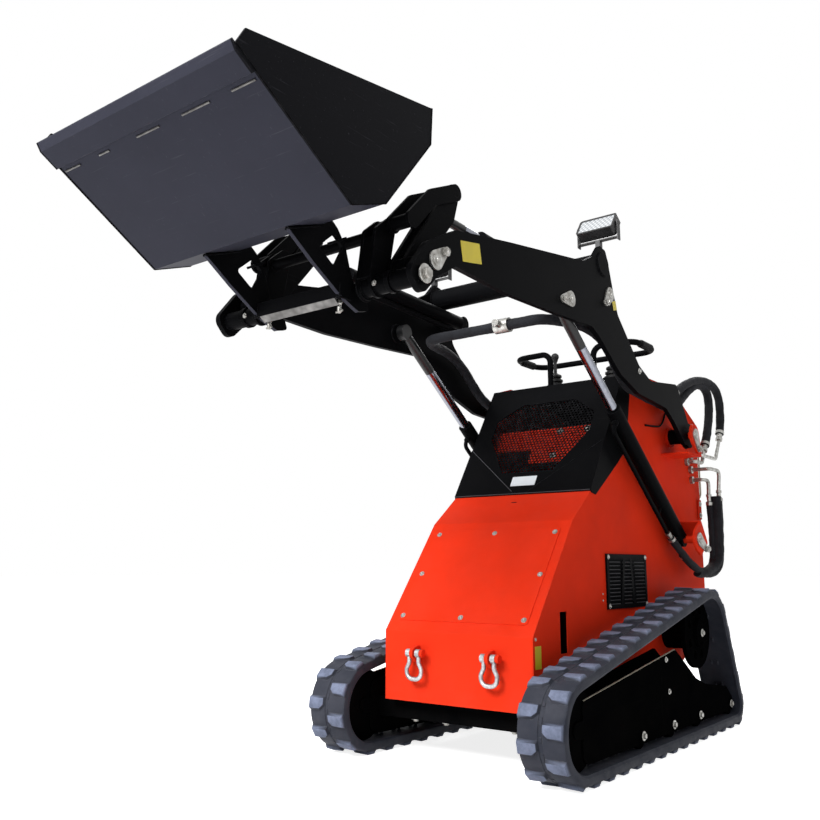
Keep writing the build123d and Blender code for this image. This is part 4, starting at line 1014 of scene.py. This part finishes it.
for side in ("left", "right"):
    makeLoops(side)
    makeBundle(side)
makeArmRun()
print("hoses ready")


# hip pad on the rear panel: crowned vinyl over foam, piping round its edge
padLook = {"size": (612.0, 130.0, 404.0), "centre": (0.0, 1807.3, 1203.0), "voxel": 0.009, "cap": 14.0,
           "rounding": 20.0, "channel": 3.0, "channelWide": 12.0, "seams": (-95.0, 95.0), "pressure": 4.0,
           "stiff": 40, "bend": 4, "quality": 6, "frames": 20, "held": 0.012, "pipe": 4.5, "pipeInset": 22,
           "pipeCorner": 36, "pipeBack": 14}


def evaluated(piece):
    return piece.evaluated_get(bpy.context.evaluated_depsgraph_get())


def swellPad(piece):
    # cloth blown out from the plain form, with a cap on how far a point may move
    look = padLook
    rest = [v.co.copy() for v in piece.data.vertices]
    cloth = piece.modifiers.new("swell", "CLOTH")
    settings = cloth.settings
    settings.quality = look["quality"]
    settings.use_pressure = True
    settings.uniform_pressure_force = look["pressure"]
    settings.effector_weights.gravity = 0.0
    settings.tension_stiffness = look["stiff"]
    settings.compression_stiffness = look["stiff"]
    settings.bending_stiffness = look["bend"]
    back = piece.vertex_groups.new(name="seat")
    edge = min(co.y for co in rest) + look["held"]
    back.add([i for i, co in enumerate(rest) if co.y < edge], 1.0, "REPLACE")
    settings.vertex_group_mass = back.name
    for number in range(1, look["frames"] + 1):
        bpy.context.scene.frame_set(number)
    moved = [v.co.copy() for v in evaluated(piece).to_mesh().vertices]
    piece.modifiers.remove(cloth)
    piece.vertex_groups.remove(back)
    limit = look["cap"] * mm
    for vert, was, now in zip(piece.data.vertices, rest, moved):
        step = now - was
        if step.length > limit:
            step = step.normalized() * limit
        vert.co = was + step
    bpy.context.scene.frame_set(1)


def makePad():
    look = padLook
    cap = look["cap"]
    width, deep, high = look["size"]
    x, y, z = look["centre"]
    bm = bmesh.new()
    addBlock(bm, (width - 2 * cap, deep - cap, high - 2 * cap), Matrix.Identity(4))
    bmesh.ops.bevel(bm, geom=bm.edges[:], offset=look["rounding"], offset_type="OFFSET", affect="EDGES",
                    segments=4, profile=0.5, material=-1)
    bmesh.ops.translate(bm, vec=(x, y - cap / 2, z), verts=bm.verts)
    piece = finishPiece(bm, "hipPad", None, "padVinyl", slot="pad_vinyl")
    remesh = piece.modifiers.new("voxels", "REMESH")
    remesh.mode = "VOXEL"
    remesh.voxel_size = look["voxel"]
    piece.data = bpy.data.meshes.new_from_object(evaluated(piece))
    piece.modifiers.clear()
    swellPad(piece)
    bm = bmesh.new()
    bm.from_mesh(piece.data)
    bmesh.ops.smooth_vert(bm, verts=bm.verts, factor=0.5, use_axis_x=True, use_axis_y=True, use_axis_z=True)
    bmesh.ops.subdivide_edges(bm, edges=bm.edges[:], cuts=1, use_grid_fill=True, smooth=0.6)
    back = at(0, y - deep / 2, 0).y
    for vert in bm.verts:
        if (vert.co.y - back) / (deep * mm) > 0.3:
            for seam in look["seams"]:
                off = abs((vert.co.z - z * mm) / mm - seam)
                vert.co.y -= look["channel"] * mm * max(0.0, 1.0 - off / look["channelWide"]) ** 2
    for face in bm.faces:
        face.smooth = True
    bm.to_mesh(piece.data)
    bm.free()
    piece.data.materials.clear()
    piece.data.materials.append(finishes["padVinyl"])
    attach(piece, "chassis")
    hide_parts("rear_pad")

    corner = look["pipeCorner"]
    halfX, halfZ = width / 2 - look["pipeInset"] - corner, high / 2 - look["pipeInset"] - corner
    route = []
    for cx, cz, start in ((halfX, halfZ, 0), (-halfX, halfZ, 90), (-halfX, -halfZ, 180), (halfX, -halfZ, 270)):
        for part in range(7):
            angle = radians(start + 15 * part)
            route.append(Vector((cx + corner * cos(angle), y + deep / 2 - look["pipeBack"],
                                 z + cz + corner * sin(angle))))
    piping = bmesh.new()
    addTube(piping, evenly(route + route[:1], 12.0), lambda run, turn: look["pipe"], 8)
    trim = finishPiece(piping, "padPiping", "chassis", "padVinyl", slot="pad_vinyl")


makePad()
print("pad ready")


# bolts, screws and washers; faces are distances from the middle, pins are station and height
coverPlane = slopeFrame(noseFoot, noseTop, 3.4)
cowlPlane = slopeFrame(noseFold, cowlTop, 3.3)
sideFace, frameFace, hubFace, bracketFace, armFace = 320.0, 492.0, 475.0, 455.3, 427.3
armPivot, sprocketPin, elbowPin = (1370, 1290), (1233, 409), (501, 1880)
bucketPin, rockerPin, tiltBase = (-700, 1513), (-638, 1572), (555, 1767)


def onPlane(plane, x, up, lift=0.0):
    return plane @ Vector((x, up, lift))


def addOnPlane(bm, template, plane, spots, across):
    for x, up in spots:
        addFastener(bm, template, onPlane(plane, x, up), plane.to_3x3() @ upward, across)


def addOnSide(bm, template, side, x, spots, across, finish=0):
    for station, height in spots:
        addFastener(bm, template, (side * x, station, height), leftward * side, across, finish)


def makeBodyScrews():
    bm = bmesh.new()
    rows = ((-265, 66), (0, 66), (265, 66), (-265, 263), (265, 263), (-265, 460), (0, 460), (265, 460))
    addOnPlane(bm, roundScrew, coverPlane, rows, 11.5)
    for side in (-1, 1):
        addOnSide(bm, roundScrew, side, sideFace + 8.3, ((642, 537), (1003, 537), (642, 728), (1003, 728)), 10.5)
        addOnSide(bm, roundScrew, side, sideFace, ((600, 560), (600, 585)), 4.5)
        addOnSide(bm, roundScrew, side, sideFace, ((66, 446),), 7.0)
    for x in (-230, -90, 200):
        addFastener(bm, hexBolt, (x, 118, 130), downward, 17.0)
    for x, height in ((-250, 1350), (250, 1350), (-250, 470), (250, 470)):
        addFastener(bm, roundScrew, (x, 1740, height), rearward, 11.0)
    addOnPlane(bm, hexBolt, slopeFrame(noseFold, cowlTop, -57.0), ((60, 385), (190, 385), (60, 250)), 17.0)
    finishPiece(bm, "bodyScrews", "chassis", "zincPlate", slot="zinc")


def makeFrameBolts():
    # bolts on the track frames' outer plates, at the rollers and on the plate's field
    bm = bmesh.new()
    station, height = sprocketPin
    turns = [radians(60 * index + 15) for index in range(6)]
    for side in (-1, 1):
        addOnSide(bm, hexBolt, side, frameFace + 6, ((516, 90), (809, 90), (1098, 90), (1484, 90)), 17.5)
        addOnSide(bm, hexBolt, side, frameFace, ((790, 214), (772, 335)), 11.0)
        hub = [(station + 44 * cos(turn), height + 44 * sin(turn)) for turn in turns]
        addOnSide(bm, hexBolt, side, hubFace, hub, 12.0, finish=1)
        addOnSide(bm, hexBolt, side, hubFace, (sprocketPin,), 17.0)
    finishPiece(bm, "frameBolts", "chassis", "zincPlate", "frameBlack", slot="zinc")


def makeRetainerBolts():
    # bolt heads on the pear-shaped retainers and grease nipples in the pins
    fixed, moving = bmesh.new(), bmesh.new()
    retainers = ((fixed, bracketFace, 17.0, ((armPivot, (29, -62)), (liftBase, (76, -42)))),
                 (moving, armFace, 15.0, ((rockerPin, (42, 36)), (liftPin, (-64, -14)), (tiltBase, (-40, -42)))))
    for side in (-1, 1):
        for bm, face, across, pins in retainers:
            for pin, bolt in pins:
                addOnSide(bm, hexBolt, side, face + 4, ((pin[0] + bolt[0], pin[1] + bolt[1]),), across)
                addOnSide(bm, roundScrew, side, face, (pin,), 9.0)
        addOnSide(moving, hexBolt, side, 427, (bucketPin,), 30.0)
        addOnSide(moving, hexBolt, side, 418, ((824, 1500),), 13.0)
    finishPiece(fixed, "bracketBolts", "chassis", "zincPlate", slot="zinc")
    finishPiece(moving, "armBolts", "arms", "zincPlate", slot="zinc")


makeBodyScrews()
makeFrameBolts()
makeRetainerBolts()
print("fasteners ready")


# blank plates and labels
def makeLabels():
    chassis, arms = bmesh.new(), bmesh.new()
    addPlate(chassis, cowlPlane @ shifted(0, 69, 0), 116, 48, 0.8, finish=1)
    for side in (-1, 1):
        addPlate(chassis, sideFrame(side, sideFace, 82, 385), 42, 76, 0.5, 2.5)
        addPlate(arms, sideFrame(side, 418, -446, 1652, 0.19), 108, 66, 0.5, 3.0)
        addPlate(arms, sideFrame(side, 418, 601, 1732, 0.3), 34, 38, 0.5, 2.5)
    finishPiece(chassis, "bodyLabels", "chassis", "yellowLabel", "whiteLabel", slot="red_paint")
    finishPiece(arms, "armLabels", "arms", "yellowLabel", slot="black_paint")


makeLabels()
print("labels ready")


# weld beads: a rippled bead along a line
def addBead(bm, route, radius, finish=0):
    def radiusAt(run, turn):
        ripple = 1.0 + 0.16 * abs(sin(run * 0.75)) + 0.10 * noise.noise(Vector((run * 0.2, turn, radius)))
        return radius * ripple
    addTube(bm, evenly([Vector(p) for p in route], 1.6), radiusAt, 8, finish=finish)


def addRingBead(bm, centre, reach, x, radius, start=0, sweep=360, steps=28):
    turns = [radians(start + sweep * i / steps) for i in range(steps + 1)]
    addBead(bm, [(x, centre[0] + reach * cos(turn), centre[1] + reach * sin(turn)) for turn in turns], radius)


def makeWelds():
    red, black, bucket, mount = bmesh.new(), bmesh.new(), bmesh.new(), bmesh.new()
    rockers = {side: bmesh.new() for side in (-1, 1)}
    for side in (-1, 1):
        addRingBead(red, armPivot, 46.5, side * 328, 2.6)
        for x, start, end, radius in ((321.5, (1265, 1197), (1440, 1197), 3.0),
                                      (436, (1268, 1197), (1438, 1197), 2.6),
                                      (321.5, (1378, 894), (1449, 807), 3.0)):
            addBead(red, ((side * x, *start), (side * x, *end)), radius)
        addRingBead(black, armPivot, 58.5, side * 398, 2.6, 40, 250)
        addRingBead(black, elbowPin, 49.0, side * 418, 3.2)
        addRingBead(black, elbowPin, 49.0, side * 398, 3.2)
        addRingBead(black, liftPin, 41.0, side * 397, 2.4)
        for x in (side * 281.5, side * 318.5):
            addBead(rockers[side], ((x, -618, 1621), (x, -529, 1746)), 2.8)
        for x in (side * 180.5, side * 169.5):
            addBead(bucket, ((x, -1003, 1614), (x, -868, 1664)), 3.4)
            addBead(bucket, ((x, -790, 1470), (x, -741, 1470)), 2.6)
            addBead(bucket, ((x, -789, 1472), (x, -789, 1512)), 2.6)
        addRingBead(mount, bucketPin, 39.0, side * 200, 2.6)
        addRingBead(mount, (-690, 1676), 19.5, side * 199, 2.6)
    for side, name in ((-1, "right"), (1, "left")):
        finishPiece(rockers[side], "rockerWelds_" + name, "rocker_" + name, "satinBlack", slot="black_paint")
    finishPiece(red, "bracketWelds", "chassis", "bodyRed", slot="red_paint")
    finishPiece(black, "armWelds", "arms", "satinBlack", slot="black_paint")
    finishPiece(mount, "mountWelds", "bucket", "satinBlack", slot="black_paint")
    for start, end in ((-404, -330), (-236, -188), (-62, 34), (128, 236), (318, 402)):
        addBead(bucket, ((start, -1336, 1825), (end, -1336, 1825)), 3.0, finish=1)
    seams = ((-1415, 1876), (-1005, 1620), (-866, 1670), (-657, 1928), (-649, 2047))
    for side in (-1, 1):
        for start, end in zip(seams, seams[1:]):
            addBead(bucket, ((side * 417.5, *start), (side * 417.5, *end)), 2.2)
    finishPiece(bucket, "bucketWelds", "bucket", "satinBlack", "bareSteel", slot="bucket_paint")


def makeRibEdges():
    # front edges of the bucket's ribs in the lighter bucket paint: rubbed wear, and a painted highlight where
    # they catch the light
    bm = bmesh.new()
    corners = ((-1001, 1614), (-899, 1545), (-779, 1473), (-704, 1444))
    for side in (-1, 1):
        for first, second in zip(corners, corners[1:]):
            start, end = Vector((side * 175, *first)), Vector((side * 175, *second))
            run = (end - start).normalized()
            place = frameOf((start + end) / 2, run, Vector((0, run.z, -run.y)))
            addPlate(bm, place, (end - start).length + 1, 13.0, 1.4, 0.8)
    finishPiece(bm, "ribEdges", "bucket", "bucketBlack", slot="bucket_paint")


makeWelds()
makeRibEdges()
print("welds ready")


def makeGrips():
    # foam sleeves on the handlebar's ends
    bm = bmesh.new()
    start, end = 1105, 1222

    def radiusAt(run, turn):
        near = min(run, end - start - run)
        rough = noise.noise(Vector((run * 0.4, turn * 3, side)))
        return 18.5 - 3.5 * max(0.0, 1.0 - near / 6.0) ** 2 + 0.3 * rough

    for side in (-1, 1):
        line = [Vector((side * 310, start, 1695)), Vector((side * 310, end, 1695))]
        addTube(bm, evenly(line, 3.0), radiusAt, 20)
    finishPiece(bm, "handGrips", "chassis", "gripFoam", slot="handle_black")


def makeLockPins():
    # attachment: light strip under the bar, hanging lock pins, set bolts on the sleeves
    bm = bmesh.new()
    slant = Vector((0, -0.62, -0.78)).normalized()
    addPlate(bm, frameOf(Vector((0, -777, 1463)), leftward, slant), 318, 26, 2.5, finish=1)
    for side in (-1, 1):
        x = side * 150
        pin = evenly([Vector((x, -756, 1470)), Vector((x, -756, 1434))], 3.0)
        addTube(bm, pin, lambda run, turn: 6.5 if run > 9 else 9.0, 14)
        addRod(bm, (x - 17, -750, 1440), (x + 17, -762, 1437), 3.4, 4.0, 10)
        addFastener(bm, hexBolt, (side * 277, -747, 1503), forward, 9.0)
    finishPiece(bm, "lockPins", "bucket", "zincPlate", "bareSteel", slot="zinc")


def makeFrameTrim():
    # track frame: a pale cream strip along the outer plate's top edge, and the joint of its two halves
    bm = bmesh.new()
    for side in (-1, 1):
        start, end = Vector((side * 488.5, 70, 261.5)), Vector((side * 488.5, 868, 366))
        run = end - start
        place = frameOf((start + end) / 2, run.normalized(), Vector((0, -run.z, run.y)).normalized())
        addPlate(bm, place, run.length, 6.5, 1.2, 1.0)
        addRod(bm, (side * 492.2, 705, 100), (side * 492.2, 722, 345), 0.8, 40.0, 6, finish=1)
    finishPiece(bm, "frameTrim", "chassis", "paleTopEdge", "frameBlack", slot="black_paint")


makeGrips()
makeLockPins()
makeFrameTrim()

# the louvres' slats: three groups that narrow or widen with height, between two stations
louvreLook = {"x": 326.8, "foot": 537.0, "high": 179.0, "slats": 12}


def makeBodyTrim():
    # black sleeves on the arms' pivots, a black sheet behind the louvres as painted shade, slat lips in the
    # louvres in a lighter black as painted highlights, a cable on each side, rods on the cowl's edges, the left
    # gusset's and the bottom one painted lighter as highlights, a black plate as the painted shade of a catch
    # slot in the nose and two-bolt tabs at the rear edge
    look = louvreLook
    black, red = bmesh.new(), bmesh.new()
    for side in (-1, 1):
        addRod(black, (side * 328.4, *armPivot), (side * 397, *armPivot), 35.2, 12.0, 32)
        # a black sheet over the side panel behind the slats: painted shade of the dark openings
        addPlate(black, sideFrame(side, 320.3, 822, 632), 352, 182, 1.6, 1.0)
        x = side * look["x"]
        # slat lips in the lighter black: painted highlights where the slats catch the light
        for slat in range(look["slats"]):
            height = look["foot"] + look["high"] / look["slats"] * (slat + 0.5)
            for start, end in ((650, 742 + slat), (786 - slat, 858 + slat), (902 - slat, 994)):
                addTube(black, [Vector((x, start, height)), Vector((x, end, height))],
                        lambda run, turn: 1.5, 6, finish=1)
        cable = curvePoints([(side * 323.5, *place) for place in
                             ((1087, 1313), (1180, 1318), (1290, 1332), (1330, 1400))])
        addTube(black, evenly(cable, 6.0), lambda run, turn: 4.0 if run > 14 else 4.6, 12)
        # the left gusset's edge rod is painted lighter: a painted highlight where the edge catches the light
        addRod(black, onPlane(cowlPlane, side * 40, 15, 2.6), onPlane(cowlPlane, side * 321, 261, 2.6),
               1.7, 30.0, 8, finish=int(side < 0))
        tab = sideFrame(side, 322.5, 1716, 968)
        addPlate(red, tab, 40, 96, 5.0, 5.0)
        for lift in (-28, 28):
            addFastener(red, hexBolt, tab @ Vector((0, lift, 5)), leftward * side, 13.0, finish=1)
    # the cowl's bottom hem in the lighter black: a painted highlight
    addRod(black, onPlane(cowlPlane, -318, 4, 1.2), onPlane(cowlPlane, 318, 4, 1.2), 2.0, 40.0, 8, finish=1)
    # a thin black plate on the nose: painted shade standing in for a catch slot
    addPlate(black, slopeFrame(noseTop, noseFold, 0.4) @ shifted(0, 140, 0), 24, 5, 0.5, 1.0)
    finishPiece(black, "bodyTrim", "chassis", "satinBlack", "highlightEdge", slot="black_paint")
    finishPiece(red, "rearTabs", "chassis", "bodyRed", "zincPlate", slot="red_paint")


makeBodyTrim()
print("trim ready")

# tread on the rider's platform: raised lozenges in two directions
treadLook = {"x": (-225, 225), "height": (410, 790), "face": 1792.0, "pitch": 34.0, "long": 15.0, "wide": 5.2,
             "rise": 1.8}


def makeTread():
    look = treadLook
    pitch = look["pitch"]
    shape = bmesh.new()
    addCone(shape, 8, 1.0, 0.55, 1.0, shifted(0, 0, 0.4))
    bmesh.ops.scale(shape, vec=(look["long"], look["wide"], look["rise"]), verts=shape.verts)
    template = asMesh(shape, "treadLozenge")
    bm = bmesh.new()
    (x0, x1), (z0, z1) = look["x"], look["height"]
    row, height = 0, z0
    while height < z1:
        column, x = 0, x0 + pitch / 2 * (row % 2)
        while x < x1:
            turn = radians(45 if (column + row) % 2 else -45)
            place = frameOf(Vector((x, look["face"], height)), leftward, rearward)
            addShape(bm, template, place @ Matrix.Rotation(turn, 4, "Z"))
            column, x = column + 1, x + pitch
        row, height = row + 1, height + pitch / 2
    finishPiece(bm, "platformTread", "platform", "satinBlack", slot="black_paint")


makeTread()
print("tread ready")
